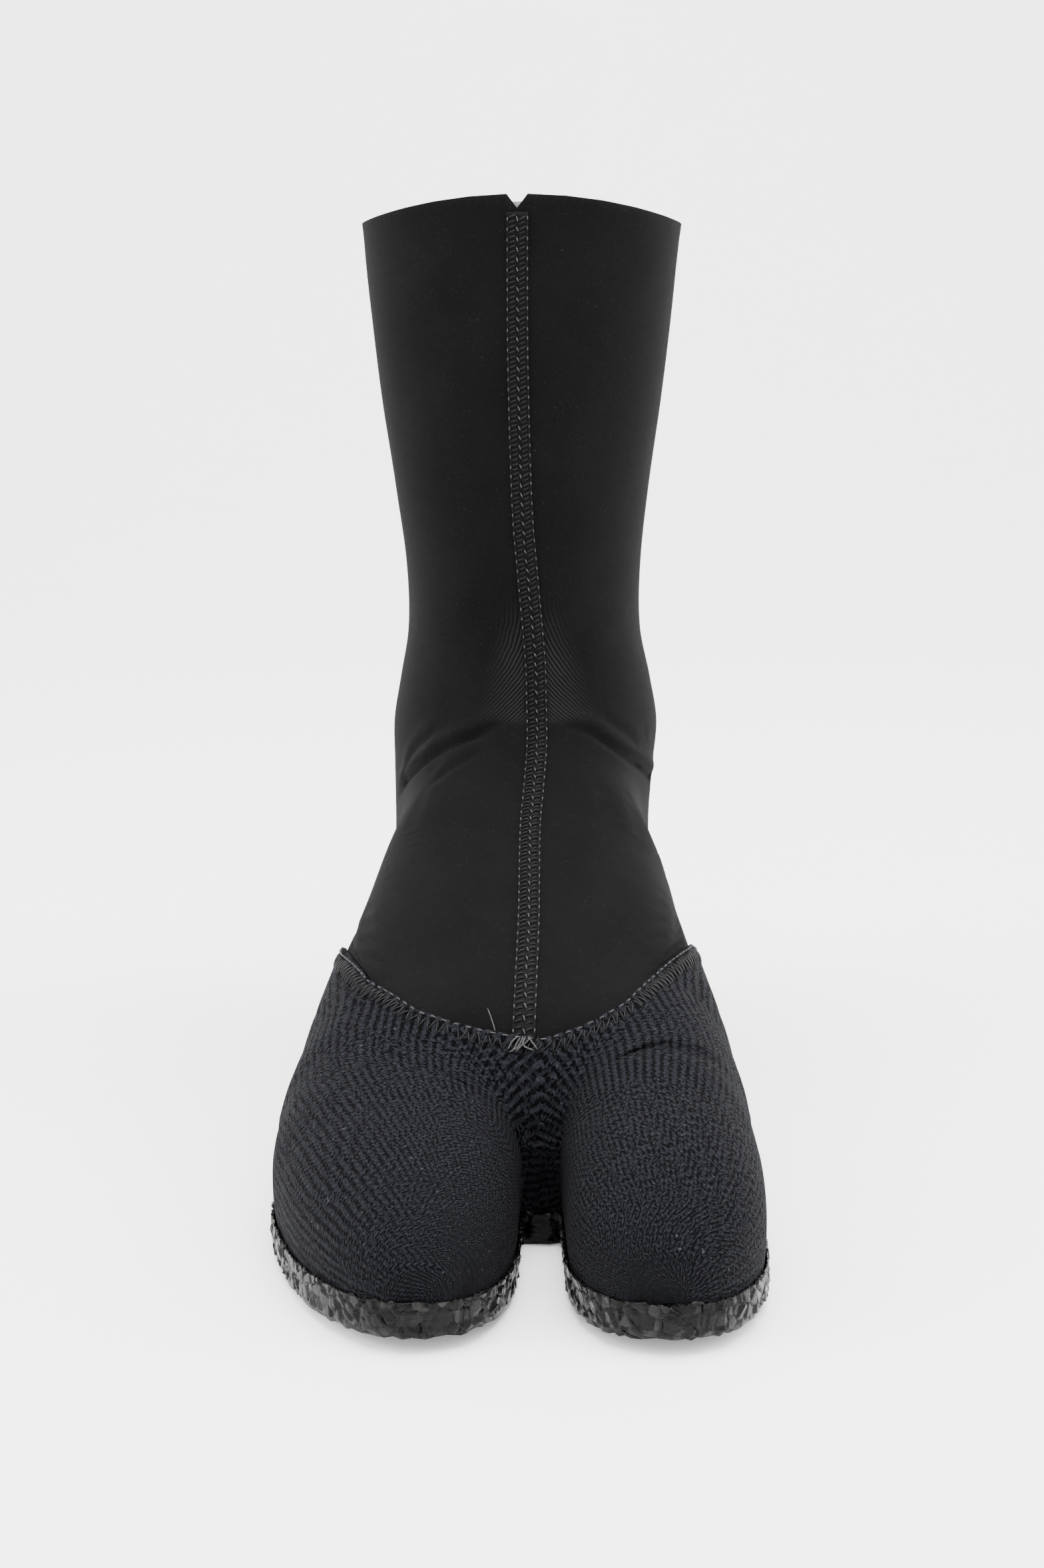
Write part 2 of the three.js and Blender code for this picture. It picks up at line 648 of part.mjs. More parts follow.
// Faces of the sole's plan, spanned across the foot in steps: share runs from the edge to the middle
function planFaces(solid, kind, make, up) {
  const node = (row, step, side) => {
    const edge = corner(row, 0, side);
    if (row === tip || row <= heelRow || step === 0) {
      return solid.vertex(kind + edge.name, () => make(edge, edge, 0));
    }
    const inner = row < crotchRow ? null : corner(row, columns, side);
    if (inner && step === planSteps) return solid.vertex(kind + inner.name, () => make(inner, inner, 0));
    const other = inner || corner(row, 0, -side);
    const share = step / planSteps / (inner ? 1 : 2);
    const name = [kind, "plan", row, step, step === planSteps ? "" : side].join(" ");
    return solid.vertex(name, () => make(edge, other, share));
  };
  for (const side of [-1, 1]) {
    for (let row = heelRow; row < tip; row++) {
      for (let step = 0; step < planSteps; step++) {
        const quad = [node(row, step, side), node(row + 1, step, side)];
        quad.push(node(row + 1, step + 1, side), node(row, step + 1, side));
        const face = quad.filter((vertex, i, all) => all.indexOf(vertex) === i);
        if (face.length > 2) solid.face(side * up > 0 ? face : face.reverse());
      }
    }
  }
}

// The room between a vertex of the outline and the sole's wall, which also clears the toe cover
const covered = ({ row }) => row >= coverRow;
const atWeb = ({ row, column }) => column === columns && row <= crotchRow + 1;
const inGap = ({ row, column }) => row >= crotchRow && row < tip && column === columns;
function cupGap(vertex) {
  const cover = covered(vertex) ? coverThickness + fit : 0;
  return sleeveFit + cover + (atWeb(vertex) ? 2 * fit : 0);
}

// The boot body's surface at the height of the sole's lip, straight out from a vertex of the outline
function atLip({ at, normal }, height) {
  const place = (out) => {
    const away = out - lipSearch;
    return [at[0] + normal.x * away, at[1] + normal.y * away, at[2] + height];
  };
  return place(leave((out) => body(...place(out))));
}

// The sole's wall, ring by ring from the ground up and over the lip to the bed
function makeOutsole() {
  const solid = solidMaker();
  const loop = outlineLoop();
  const away = (point, { normal }, distance, z) => [
    point[0] + normal.x * distance,
    point[1] + normal.y * distance,
    z,
  ];
  const atHeight = (v, height, distance) => away(atLip(v, height), v, distance, v.at[2] + height);
  const sideWall = (v) => cupGap(v) + (inGap(v) ? lipWall : soleWall);
  const low = (v) => ground(v.at[1]);
  const bend = soleLip * lipBend;
  const rings = [
    { name: "under ", make: (v) => away(v.at, v, sideWall(v) - edgeBevel, low(v)) },
    { name: "bevel ", make: (v) => away(v.at, v, sideWall(v), low(v) + edgeBevel) },
    { name: "side ", make: (v) => atHeight(v, bend, sideWall(v)) },
    { name: "lip out ", make: (v) => atHeight(v, soleLip, cupGap(v) + lipWall) },
    { name: "lip in ", make: (v) => atHeight(v, soleLip, cupGap(v)) },
    { name: "side in ", make: (v) => atHeight(v, bend, cupGap(v)) },
    { name: "bed ", make: (v) => away(v.at, v, cupGap(v), v.at[2] - fit) },
  ];
  loop.forEach((vertex, i) => {
    const next = loop[(i + 1) % loop.length];
    for (let ring = 0; ring < rings.length - 1; ring++) {
      const pair = [rings[ring], rings[ring + 1]];
      const [low, high] = pair.map(({ name, make }) =>
        [vertex, next].map((v) => solid.vertex(name + v.name, () => make(v))),
      );
      solid.face([low[0], low[1], high[1], high[0]]);
    }
  });
  const floor = (level) => (edge, other, share) => {
    const along = mix(edge.at[1], other.at[1], share);
    return [mix(edge.at[0], other.at[0], share), along, level(along)];
  };
  planFaces(solid, "under ", floor(ground), -1);
  planFaces(solid, "bed ", floor((along) => bed(along) - fit), 1);
  return solid.geometry();
}

function makeInsole() {
  const solid = solidMaker();
  const loop = outlineLoop();
  const spare = ({ row, column }) => {
    if (atWeb({ row, column })) return webRoom;
    return row <= heelRow + 2 ? heelRoom : 0;
  };
  const inset = (vertex) => wall + sleeveFit + spare(vertex);
  const level = (lift) => (edge, other, share) => {
    const [from, to] = [edge, other].map((vertex) => off(vertex, -inset(vertex)));
    const along = mix(from[1], to[1], share);
    return [mix(from[0], to[0], share), along, bed(along) + lift];
  };
  const rings = [
    { name: "low ", make: level(0) },
    { name: "high ", make: level(insoleThickness) },
  ];
  loop.forEach((vertex, i) => {
    const next = loop[(i + 1) % loop.length];
    const [low, high] = rings.map(({ name, make }) =>
      [vertex, next].map((v) => solid.vertex(name + v.name, () => make(v, v, 0))),
    );
    solid.face([low[0], low[1], high[1], high[0]]);
  });
  planFaces(solid, "low ", level(0), -1);
  planFaces(solid, "high ", level(insoleThickness), 1);
  return solid.geometry();
}

const neoprene = new THREE.MeshStandardMaterial({ color: 0x232325, roughness: 0.85, metalness: 0 });
const knit = new THREE.MeshStandardMaterial({ color: 0x2b2d33, roughness: 0.95, metalness: 0 });
const thread = new THREE.MeshStandardMaterial({ color: 0x1c1c1e, roughness: 0.7, metalness: 0 });
const rubber = new THREE.MeshStandardMaterial({ color: 0x262626, roughness: 0.35, metalness: 0 });
const lining = new THREE.MeshStandardMaterial({ color: 0x55565a, roughness: 0.9, metalness: 0 });

const shoe = new THREE.Group();
function add(name, geometry, material) {
  const mesh = new THREE.Mesh(geometry, material);
  mesh.name = name;
  shoe.add(mesh);
}
add("outsole", makeOutsole(), rubber);
add("insole", makeInsole(), lining);
add("upper", makeUpper(), neoprene);
add("toe_cover", makeToeCover(), knit);
add("front_seam", makeSeam(coverRow, columns - 1, columns, seamShort), thread);
add("back_seam", makeSeam(heelRow - 1, 0, 0, 0), thread);

// The origin goes under the middle of the boot's box, on the ground
const box = new THREE.Box3().setFromObject(shoe);
const middle = box.getCenter(new THREE.Vector3());
shoe.position.set(-middle.x, -middle.y, -box.min.z);

export default shoe;
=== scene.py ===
"""A right foot's split-toe neoprene boot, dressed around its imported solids, on a pale studio floor."""

import math

import bpy
import numpy as np
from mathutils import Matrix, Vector
from mathutils.kdtree import KDTree


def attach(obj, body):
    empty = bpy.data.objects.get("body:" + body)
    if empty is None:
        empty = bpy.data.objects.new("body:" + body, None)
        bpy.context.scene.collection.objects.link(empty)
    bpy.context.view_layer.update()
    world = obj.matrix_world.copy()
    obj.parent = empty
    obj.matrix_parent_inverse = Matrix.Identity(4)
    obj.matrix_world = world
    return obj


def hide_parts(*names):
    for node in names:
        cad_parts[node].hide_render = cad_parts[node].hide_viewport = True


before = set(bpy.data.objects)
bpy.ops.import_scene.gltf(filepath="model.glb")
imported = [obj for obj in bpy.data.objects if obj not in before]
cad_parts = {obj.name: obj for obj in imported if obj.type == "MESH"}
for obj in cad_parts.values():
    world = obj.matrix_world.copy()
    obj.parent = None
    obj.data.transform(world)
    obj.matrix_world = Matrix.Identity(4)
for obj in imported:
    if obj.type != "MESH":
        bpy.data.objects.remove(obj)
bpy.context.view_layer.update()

# The boot's own frame, in millimetres: x towards the big toe, along from the heel back to the toes, z up
FOOT = 268.0
BALL = 112.0
HEIGHT = 241.5
INSTEP = 100.0
ANKLE_WIDTH = 64.0
ANKLE_DEPTH = 82.0
ANKLE_AXIS = 60.0
SHIFT_X = 1.4586
SHIFT_Y = FOOT / 2 + 2.0026
MM = 0.001

# The meshes: their longest edges, and how close they stay to the solids' own faces
BODY_EDGE, FOLD_EDGE, COVER_MESH, INSOLE_MESH = 3.2, 1.3, 2.0, 5.0
SOLE_TOES, SOLE_HEEL, SOLE_UNDER, SOLE_HIDDEN = 0.86, 1.2, 2.6, 6.0
SOLE_TOES_FROM = 150  # along the boot, where the finer mesh of the sole's side starts
FACING = 0.35  # a vertex is on an outer or inner face when it faces that way by this much
MOST_MOVE = 0.45

# The neoprene: where the folds are, where the lumps fade, and the folds' own section
FOLD_ZONE = (60, 84, 124)  # along from, height from and height to
RIM_FADE, SOLE_FADE = (8, 20), (14, 30)  # below the collar, and above the ground
FOLD_REACH, FOLD_ENDS, FOLD_STEPS = 9.0, 10, 60
TROUGH_WIDTH, SHOULDER_AT, SHOULDER_WIDTH = 1.3, 2.9, 2.0
SHOULDER_ABOVE, SHOULDER_BELOW = 0.6, 0.12
# Soft waves of the skin: depth, then the shares of x, along and z with a start, for two sines
LUMPS = [
    (0.16, (1 / 9.3, 1 / 21, 0, 1.3), (0, -1 / 33, 1 / 17, 0)),
    (0.1, (1 / 5.1, 0, -1 / 11.7, 0.5), (0, 1 / 14.3, 1 / 19, 0)),
]

# The toe cover
FIT, COVER = 0.3, 1.3  # the gap under it, and its thickness
COVER_EDGE = 0.5  # the cover's thickness at its rear edge
COVER_ROUND = 1.6  # over this width the edge is rounded down
COVER_FROM, COVER_LOW = 201, 7  # its rear edge lies behind this place and above this height
COVER_BED = 6  # below this height the cover's rim stays as its solid has it
CREASE_ZONE = (180, 226, 26)  # along from, along to, and height from which the knit bridges the crease
CREASE_ROUNDS = 14
KNIT_RADIUS, WALE, COURSE = 24.0, 1.7, 1.5
KNIT_SPLIT, LATERAL_POLE, BIG_POLE = (165, 200), 11.0, -5.0  # where the wales part, and where they end
KNIT_SPREAD, KNIT_ASIDE, KNIT_AXIS = 1.4, 0.62, 0.8

# The rubber
CELL, CELL_GROOVE, CELL_TILT = 3.0, 0.4, 0.12  # the pebbled cells
CELL_HEIGHTS, GROOVE_DEEP = (-0.22, 0.12), 0.5
PIT_SHARE, PIT_DEEP, PIT_RADIUS = 0.9, 0.7, 1.2  # cells whose tone is over this share have a round pit
HUG_FROM, HUG_WALL, HUG_SHARE, HUG_MOST = 1.75, 2.5, 0.45, 2.0  # where the drawn rubber lies
HUG_LOW = 9  # below this height the rubber is drawn in as much as at it
LIP_FROM, LIP_CUT = 3.0, 0.28  # the drawn rubber's edge is lower by this share above this height
ARCH_RISE, ARCH_START, ARCH_END = 3.0, (0.3, 0.46), (0.5, 0.64)
SPRING_RISE, SPRING = 3.5, (0.8, 1.0)

# The flat seams and the threads
SEAM_HALF = 2.7
SEAM_EDGES = ((-2.5, 0.35), (2.52, 0.0))  # the edge columns: offset and start
JITTER = 0.18
THREAD, ZIGZAG, TUFT_THREAD, SCUFF_THREAD = 0.2, 0.17, 0.24, 0.16  # radii
THREAD_SIDES, THREAD_POINTS, THREAD_END = 6, 5, 0.45

# How the forms blend, as in the part's source
SIDE_BLEND, CREASE_BLEND, CREASE = 12.0, 14.0, (0.35, 0.95)
WEB_BLEND, LEAST_WEB, WEB = 7.0, 0.007, (0.58, 0.68)
LEG_TO, FOOT_FROM, FOOT_TO, TOES_FROM, REACH_HEIGHT = 0.6, 0.14, 0.82, 0.56, 1.6
NOSE_DROP, NOSE_END, BEYOND_NOSE = 0.85, 0.02, 6.0
WEB_MIDDLE = 0.036 * BALL
FAR = 1000.0  # a form's distance where it doesn't reach

# Level sections of the leg: height, back, front, lateral, medial, square
LEG = [
    (-0.04, 0.64, 0.36, 0.47, 0.45, 2.1),
    (0.03, 0.69, 0.38, 0.5, 0.49, 2.1),
    (0.09, 0.725, 0.42, 0.545, 0.54, 2.1),
    (0.15, 0.725, 0.45, 0.555, 0.55, 2.1),
    (0.22, 0.71, 0.48, 0.555, 0.555, 2.1),
    (0.3, 0.68, 0.5, 0.56, 0.56, 2.1),
    (0.36, 0.64, 0.51, 0.562, 0.578, 2.1),
    (0.41, 0.59, 0.515, 0.56, 0.592, 2.1),
    (0.46, 0.54, 0.51, 0.53, 0.56, 2.1),
    (0.52, 0.5, 0.505, 0.495, 0.515, 2.1),
    (0.6, 0.49, 0.51, 0.5, 0.512, 2.15),
    (0.68, 0.505, 0.53, 0.54, 0.54, 2.2),
    (0.78, 0.54, 0.56, 0.595, 0.593, 2.25),
    (0.88, 0.575, 0.58, 0.64, 0.636, 2.3),
    (1.0, 0.61, 0.6, 0.68, 0.678, 2.35),
]
# Upright sections of the instep and ball: at, top, widest, lateral, medial, under, square
INSTEP_BALL = [
    (0.2, 0.9, 0.24, 0.28, 0.28, 0.05, 2.2),
    (0.32, 1.02, 0.27, 0.335, 0.335, 0.06, 2.4),
    (0.39, 0.975, 0.26, 0.367, 0.372, 0.07, 2.6),
    (0.46, 0.86, 0.25, 0.4, 0.39, 0.08, 2.7),
    (0.54, 0.745, 0.23, 0.44, 0.422, 0.1, 2.7),
    (0.62, 0.635, 0.2, 0.475, 0.455, 0.13, 2.6),
    (0.7, 0.53, 0.18, 0.488, 0.462, 0.15, 2.5),
    (0.77, 0.42, 0.17, 0.49, 0.465, 0.16, 2.4),
]
# Upright sections of the toe lobes: at, top, widest, middle, half, under, square
LATERAL_TOES = [
    (0.6, 0.5, 0.19, -0.21, 0.2, 0.16, 2.3),
    (0.7, 0.47, 0.18, -0.243, 0.245, 0.16, 2.3),
    (0.77, 0.42, 0.17, -0.258, 0.244, 0.16, 2.3),
    (0.83, 0.375, 0.165, -0.246, 0.226, 0.16, 2.3),
    (0.89, 0.335, 0.155, -0.228, 0.205, 0.16, 2.3),
    (0.95, 0.3, 0.15, -0.209, 0.186, 0.16, 2.3),
    (1.0, 0.28, 0.145, -0.196, 0.17, 0.16, 2.3),
]
BIG_TOE = [
    (0.6, 0.52, 0.19, 0.22, 0.17, 0.16, 2.3),
    (0.7, 0.5, 0.18, 0.265, 0.19, 0.16, 2.3),
    (0.77, 0.455, 0.175, 0.282, 0.189, 0.16, 2.3),
    (0.83, 0.41, 0.17, 0.287, 0.188, 0.16, 2.3),
    (0.89, 0.37, 0.16, 0.285, 0.182, 0.16, 2.3),
    (0.95, 0.33, 0.155, 0.279, 0.174, 0.16, 2.3),
    (1.0, 0.305, 0.15, 0.274, 0.166, 0.16, 2.3),
]
FOOT_NOSE, LATERAL_NOSE, BIG_NOSE = (0.7, 0.765, 2.0), (0.84, 0.995, 2.3), (0.87, 1.0, 2.3)

# The photograph's camera, and places in its 1568 by 2355 frame
PHOTO_WIDTH, PHOTO_HEIGHT = 1568, 2355
FOCAL = 3930.0
CAMERA_ALONG, CAMERA_Z, CAMERA_TILT = 783.0, 226.0, math.radians(11.4)
SEAM_LINE = [(777, 318), (777, 420), (778, 560), (784, 760), (792, 860), (799, 938), (804, 1000),
             (805, 1046), (806, 1117), (801, 1189), (796, 1249), (794, 1378), (790, 1470), (786, 1566)]
FOLDS = [
    {"line": [(598, 1199), (611, 1171), (643, 1139), (671, 1121), (714, 1105), (743, 1091), (772, 1084)],
     "deep": 1.3},
    {"line": [(981, 1172), (964, 1153), (929, 1128), (893, 1103), (868, 1094), (836, 1090)], "deep": 1.2},
    {"line": [(607, 1166), (622, 1128), (646, 1104), (664, 1092)], "deep": 0.55},
    {"line": [(643, 1180), (672, 1156), (703, 1138), (728, 1128)], "deep": 0.5},
    {"line": [(958, 1118), (930, 1092), (900, 1074)], "deep": 0.35},
]
SCUFF = [(744, 1553), (742, 1542), (739, 1533), (736, 1524), (732, 1514)]
TUFT = [
    [(786, 1561), (779, 1575), (765, 1584)],
    [(778, 1561), (769, 1569), (763, 1580)],
    [(793, 1561), (801, 1572), (807, 1580)],
    [(789, 1562), (785, 1572), (792, 1578), (802, 1581)],
    [(781, 1563), (775, 1573), (770, 1583)],
    [(797, 1562), (790, 1570), (783, 1574), (774, 1584)],
]

LIGHTS = [
    ("top_light", (0.1, -0.1, 1.5), (0, 0, 0), (1.2, 1.2), 60.0),
    ("left_light", (-1.3, -0.5, 0.8), (0, 0, 0.1), (0.8, 1.2), 25.0),
    ("right_light", (1.3, -0.2, 0.7), (0, 0, 0.1), (0.8, 1.2), 21.0),
]
SKY = 2.3

FINE = 1.0  # coarser meshes while trying things


def ramp(value, low, high):
    share = np.clip((value - low) / (high - low), 0, 1)
    return share * share * (3 - 2 * share)


def read(table, column, place):
    """A smooth curve through one column of a table, along its first column."""
    keys = np.array([row[0] for row in table])
    values = np.array([row[column] for row in table])
    before = np.maximum(np.arange(len(keys)) - 1, 0)
    after = np.minimum(np.arange(len(keys)) + 1, len(keys) - 1)
    slopes = (values[after] - values[before]) / (keys[after] - keys[before])
    place = np.clip(place, keys[0], keys[-1])
    i = np.clip(np.searchsorted(keys, place, side="left") - 1, 0, len(keys) - 2)
    span = keys[i + 1] - keys[i]
    t = (place - keys[i]) / span
    rise = 3 * t * t - 2 * t * t * t
    leave = t * (1 - t) * (1 - t) * span * slopes[i]
    arrive = t * t * (t - 1) * span * slopes[i + 1]
    return values[i] + (values[i + 1] - values[i]) * rise + leave + arrive


def outline(across, up, half_across, half_up, square):
    away = np.maximum(np.hypot(across, up), 1e-6)
    power = (np.abs(across) / half_across) ** square + (np.abs(up) / half_up) ** square
    return away * (1 - 1 / np.maximum(power, 1e-9) ** (1 / square))


def leg_form(x, along, z):
    height = z / HEIGHT
    back, front = read(LEG, 1, height) * ANKLE_DEPTH, read(LEG, 2, height) * ANKLE_DEPTH
    half = np.where(x < 0, read(LEG, 3, height), read(LEG, 4, height)) * ANKLE_WIDTH
    middle = ANKLE_AXIS + (front - back) / 2
    return outline(x, along - middle, half, (front + back) / 2, read(LEG, 5, height))


def arch_form(table, nose, x, along, z, middle, half, under_column, square_column):
    at = along / FOOT
    start, end, power = nose
    t = np.clip((at - start) / (end - start), 0, 1)
    size = (1 - t**power) ** (1 / power)
    closed = size < NOSE_END
    open_size = np.where(closed, 1, size)
    widest = read(table, 2, at) * INSTEP
    top = read(table, 1, at) * INSTEP
    under = read(table, under_column, at) * INSTEP
    centre = widest * (NOSE_DROP + (1 - NOSE_DROP) * open_size)
    half_up = np.where(z > centre, (top - centre) * open_size, (centre + under) * open_size)
    distance = outline(x - middle, z - centre, half * open_size, half_up, read(table, square_column, at))
    return np.where(closed, np.maximum(along - end * FOOT, 0) + BEYOND_NOSE, distance)


def join(first, second, blend):
    share = np.maximum(blend - np.abs(first - second), 0) / blend
    return np.minimum(first, second) - share * share * blend / 4


def body(points):
    """How far each point is outside the boot's body: negative inside."""
    x, along, z = points.T
    at = along / FOOT
    low = z < INSTEP * REACH_HEIGHT
    in_leg, in_foot, in_toes = at < LEG_TO, low & (at > FOOT_FROM) & (at < FOOT_TO), low & (at > TOES_FROM)
    distance = np.full(len(points), FAR)
    distance[in_leg] = leg_form(*points[in_leg].T)
    part = points[in_foot].T
    half = np.where(part[0] < 0, read(INSTEP_BALL, 3, at[in_foot]), read(INSTEP_BALL, 4, at[in_foot])) * BALL
    foot = arch_form(INSTEP_BALL, FOOT_NOSE, *part, 0, half, 5, 6)
    blend = SIDE_BLEND + (CREASE_BLEND - SIDE_BLEND) * ramp(part[2] / INSTEP, *CREASE)
    distance[in_foot] = join(distance[in_foot], foot, blend)
    part = points[in_toes].T
    grow = WEB_BLEND * np.maximum(ramp(at[in_toes], *WEB), LEAST_WEB)
    for table, nose in ((LATERAL_TOES, LATERAL_NOSE), (BIG_TOE, BIG_NOSE)):
        middle, half = read(table, 3, at[in_toes]) * BALL, read(table, 4, at[in_toes]) * BALL
        toe = arch_form(table, nose, *part, middle, half, 5, 6)
        distance[in_toes] = join(distance[in_toes], toe, grow)
    return distance


def slope_at(points, step=0.2):
    slope = np.empty_like(points)
    for axis in range(3):
        shift = np.zeros(3)
        shift[axis] = step
        slope[:, axis] = (body(points + shift) - body(points - shift)) / (2 * step)
    return slope


def settle(points, rounds=3):
    """Moves points the short way onto the body's surface, and gives the surface's normals there."""
    points = points.copy()
    for _ in range(rounds):
        slope = slope_at(points)
        size = np.maximum((slope**2).sum(1), 0.05)
        step = np.clip(body(points) / size, -4, 4)
        points -= slope * step[:, None]
    slope = slope_at(points)
    return points, slope / np.linalg.norm(slope, axis=1)[:, None]


def short(moves, most):
    """Moves cut down to a greatest length."""
    size = np.linalg.norm(moves, axis=1)
    return moves * np.minimum(1, np.asarray(most) / np.maximum(size, 1e-9))[:, None]


def lift(points, level):
    """Points at a height over the body's surface, below or above the given ones."""
    ground, normal = settle(np.asarray(points, float))
    return ground + normal * np.reshape(level, (-1, 1))


def to_frame(points):
    x, along, z = np.asarray(points).T
    return np.column_stack([x + SHIFT_X, SHIFT_Y - along, z]) * MM


def to_boot(points):
    x, y, z = (np.asarray(points) / MM).T
    return np.column_stack([x - SHIFT_X, SHIFT_Y - y, z])


def on_boot(pixels):
    """The places on the boot's body that the photograph shows at these pixels."""
    pixels = np.asarray(pixels, float)
    cos, sin = math.cos(CAMERA_TILT), math.sin(CAMERA_TILT)
    eye = np.array([0.0, CAMERA_ALONG, CAMERA_Z])
    right, up, ahead = np.array([1.0, 0, 0]), np.array([0, -sin, cos]), np.array([0, -cos, -sin])
    across = (pixels[:, :1] - PHOTO_WIDTH / 2) / FOCAL
    down = (pixels[:, 1:] - PHOTO_HEIGHT / 2) / FOCAL
    rays = ahead + across * right - down * up
    depth, last = np.full(len(pixels), 480.0), np.full(len(pixels), 480.0)
    for _ in range(70):
        outside = body(eye + rays * depth[:, None])
        last = np.where(outside > 0, depth, last)
        depth += np.where(outside > 0, np.clip(outside * 0.5, 0.4, 12.0), 0.0)
    near, far = last, depth
    for _ in range(14):
        middle = (near + far) / 2
        outside = body(eye + rays * middle[:, None]) > 0
        near, far = np.where(outside, middle, near), np.where(outside, far, middle)
    return eye + rays * near[:, None]


def through(points, count):
    """A smooth line through a few points, as many evenly spread ones."""
    points = np.asarray(points, float)
    ghosts = np.vstack([2 * points[0] - points[1], points, 2 * points[-1] - points[-2]])
    dense = []
    for i in range(1, len(ghosts) - 2):
        t = np.linspace(0, 1, 24, endpoint=False)[:, None]
        a, b, c, d = ghosts[i - 1 : i + 3]
        dense.append(0.5 * (2 * b + (c - a) * t + (2 * a - 5 * b + 4 * c - d) * t**2
                            + (3 * b - a - 3 * c + d) * t**3))
    return even(np.vstack(dense + [points[-1:]]), count)


def even(points, count):
    steps = np.linalg.norm(np.diff(points, axis=0), axis=1)
    run = np.concatenate([[0], np.cumsum(steps)])
    wanted = np.linspace(0, run[-1], count)
    return np.column_stack([np.interp(wanted, run, points[:, axis]) for axis in range(points.shape[1])])


def length_of(points):
    return np.linalg.norm(np.diff(points, axis=0), axis=1).sum()


class Path:
    """A line on the boot with a side direction, so that places can be given as run and offset."""

    def __init__(self, points, step=0.5, turn=1):
        count = max(int(length_of(points) / step), 8)
        line = even(points, count)
        for _ in range(6):
            line[1:-1] = (line[:-2] + 2 * line[1:-1] + line[2:]) / 4
        self.line, normal = settle(even(line, count))
        self.length = length_of(self.line)
        ahead = np.gradient(self.line, axis=0)
        ahead /= np.linalg.norm(ahead, axis=1)[:, None]
        self.side = np.cross(ahead, normal) * turn
        self.side /= np.linalg.norm(self.side, axis=1)[:, None]
        self.run = np.linspace(0, self.length, count)

    def at(self, run, offset, level):
        run = np.atleast_1d(np.asarray(run, float))
        offset = np.broadcast_to(np.asarray(offset, float), run.shape)
        pick = lambda table: np.column_stack([np.interp(run, self.run, table[:, i]) for i in range(3)])
        return lift(pick(self.line) + pick(self.side) * offset[:, None], level)


def solid_arrays(node):
    """The CAD node's own mesh, welded, in the boot's frame."""
    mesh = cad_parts[node].data
    count = len(mesh.vertices)
    places = np.empty(count * 3, np.float32)
    mesh.vertices.foreach_get("co", places)
    places = to_boot(places.reshape(-1, 3).astype(float))
    mesh.calc_loop_triangles()
    triangles = np.empty(len(mesh.loop_triangles) * 3, np.int32)
    mesh.loop_triangles.foreach_get("vertices", triangles)
    _, first, which = np.unique(np.round(places, 3), axis=0, return_index=True, return_inverse=True)
    triangles = which.reshape(-1)[triangles].reshape(-1, 3)
    kept = (triangles[:, 0] != triangles[:, 1]) & (triangles[:, 1] != triangles[:, 2])
    kept &= triangles[:, 0] != triangles[:, 2]
    return places[first], triangles[kept][:, ::-1]


def refine(points, triangles, limit_at, rounds=9):
    """Splits edges that are longer than the limit at their middle, until none is."""
    for _ in range(rounds):
        pairs = np.sort(triangles[:, [[0, 1], [1, 2], [2, 0]]], axis=2).reshape(-1, 2)
        edges, which = np.unique(pairs, axis=0, return_inverse=True)
        which = which.reshape(-1)
        length = np.linalg.norm(points[edges[:, 0]] - points[edges[:, 1]], axis=1)
        middle = (points[edges[:, 0]] + points[edges[:, 1]]) / 2
        long = length > limit_at(middle)
        longest = length[which].reshape(-1, 3).max(1)
        needed = np.zeros(len(edges))
        np.maximum.at(needed, which, np.repeat(longest, 3))
        long &= length > 0.55 * needed
        if not long.any():
            break
        number = np.full(len(edges), -1)
        number[long] = len(points) + np.arange(long.sum())
        points = np.vstack([points, middle[long]])
        cut = number[which].reshape(-1, 3)
        marks = (cut >= 0).sum(1)
        parts = [triangles[marks == 0]]
        for turn in range(3):
            a, b, c = (triangles[:, (turn + k) % 3] for k in range(3))
            ab, bc, ca = (cut[:, (turn + k) % 3] for k in range(3))
            one = (marks == 1) & (ab >= 0)
            parts += [np.column_stack([a, ab, c])[one], np.column_stack([ab, b, c])[one]]
            two = (marks == 2) & (ca < 0)
            parts += [np.column_stack([ab, b, bc])[two], np.column_stack([a, ab, bc])[two]]
            parts += [np.column_stack([a, bc, c])[two]]
            if turn == 0:
                three = marks == 3
                parts += [np.column_stack(corners)[three] for corners in
                          ((a, ab, ca), (ab, b, bc), (ca, bc, c), (ab, bc, ca))]
        triangles = np.vstack(parts)
    return points, triangles


def outward(points, triangles):
    """How much each vertex faces away from the boot's body, from 1 outside to -1 inside, and its normal."""
    corners = points[triangles]
    cross = np.cross(corners[:, 1] - corners[:, 0], corners[:, 2] - corners[:, 0])
    normal = np.zeros_like(points)
    for k in range(3):
        np.add.at(normal, triangles[:, k], cross)
    normal /= np.maximum(np.linalg.norm(normal, axis=1), 1e-9)[:, None]
    slope = slope_at(points)
    slope /= np.maximum(np.linalg.norm(slope, axis=1), 1e-9)[:, None]
    return (normal * slope).sum(1), normal


def make_mesh(name, points, faces, materials, replaced=(), face_material=None, smooth=True):
    mesh = bpy.data.meshes.new(name)
    turned = [face[::-1] for face in (faces.tolist() if hasattr(faces, "tolist") else faces)]
    mesh.from_pydata(to_frame(points).tolist(), [], turned)
    for material in materials:
        mesh.materials.append(material)
    if face_material is not None:
        mesh.polygons.foreach_set("material_index", np.asarray(face_material, np.int32))
    mesh.polygons.foreach_set("use_smooth", np.full(len(mesh.polygons), smooth))
    mesh.update()
    piece = bpy.data.objects.new(name, mesh)
    bpy.context.scene.collection.objects.link(piece)
    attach(piece, "root")
    if replaced:
        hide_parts(*replaced)
    return piece


def put_points(piece, name, values):
    layer = piece.data.attributes.new(name, "FLOAT", "POINT")
    layer.data.foreach_set("value", np.asarray(values, np.float32))


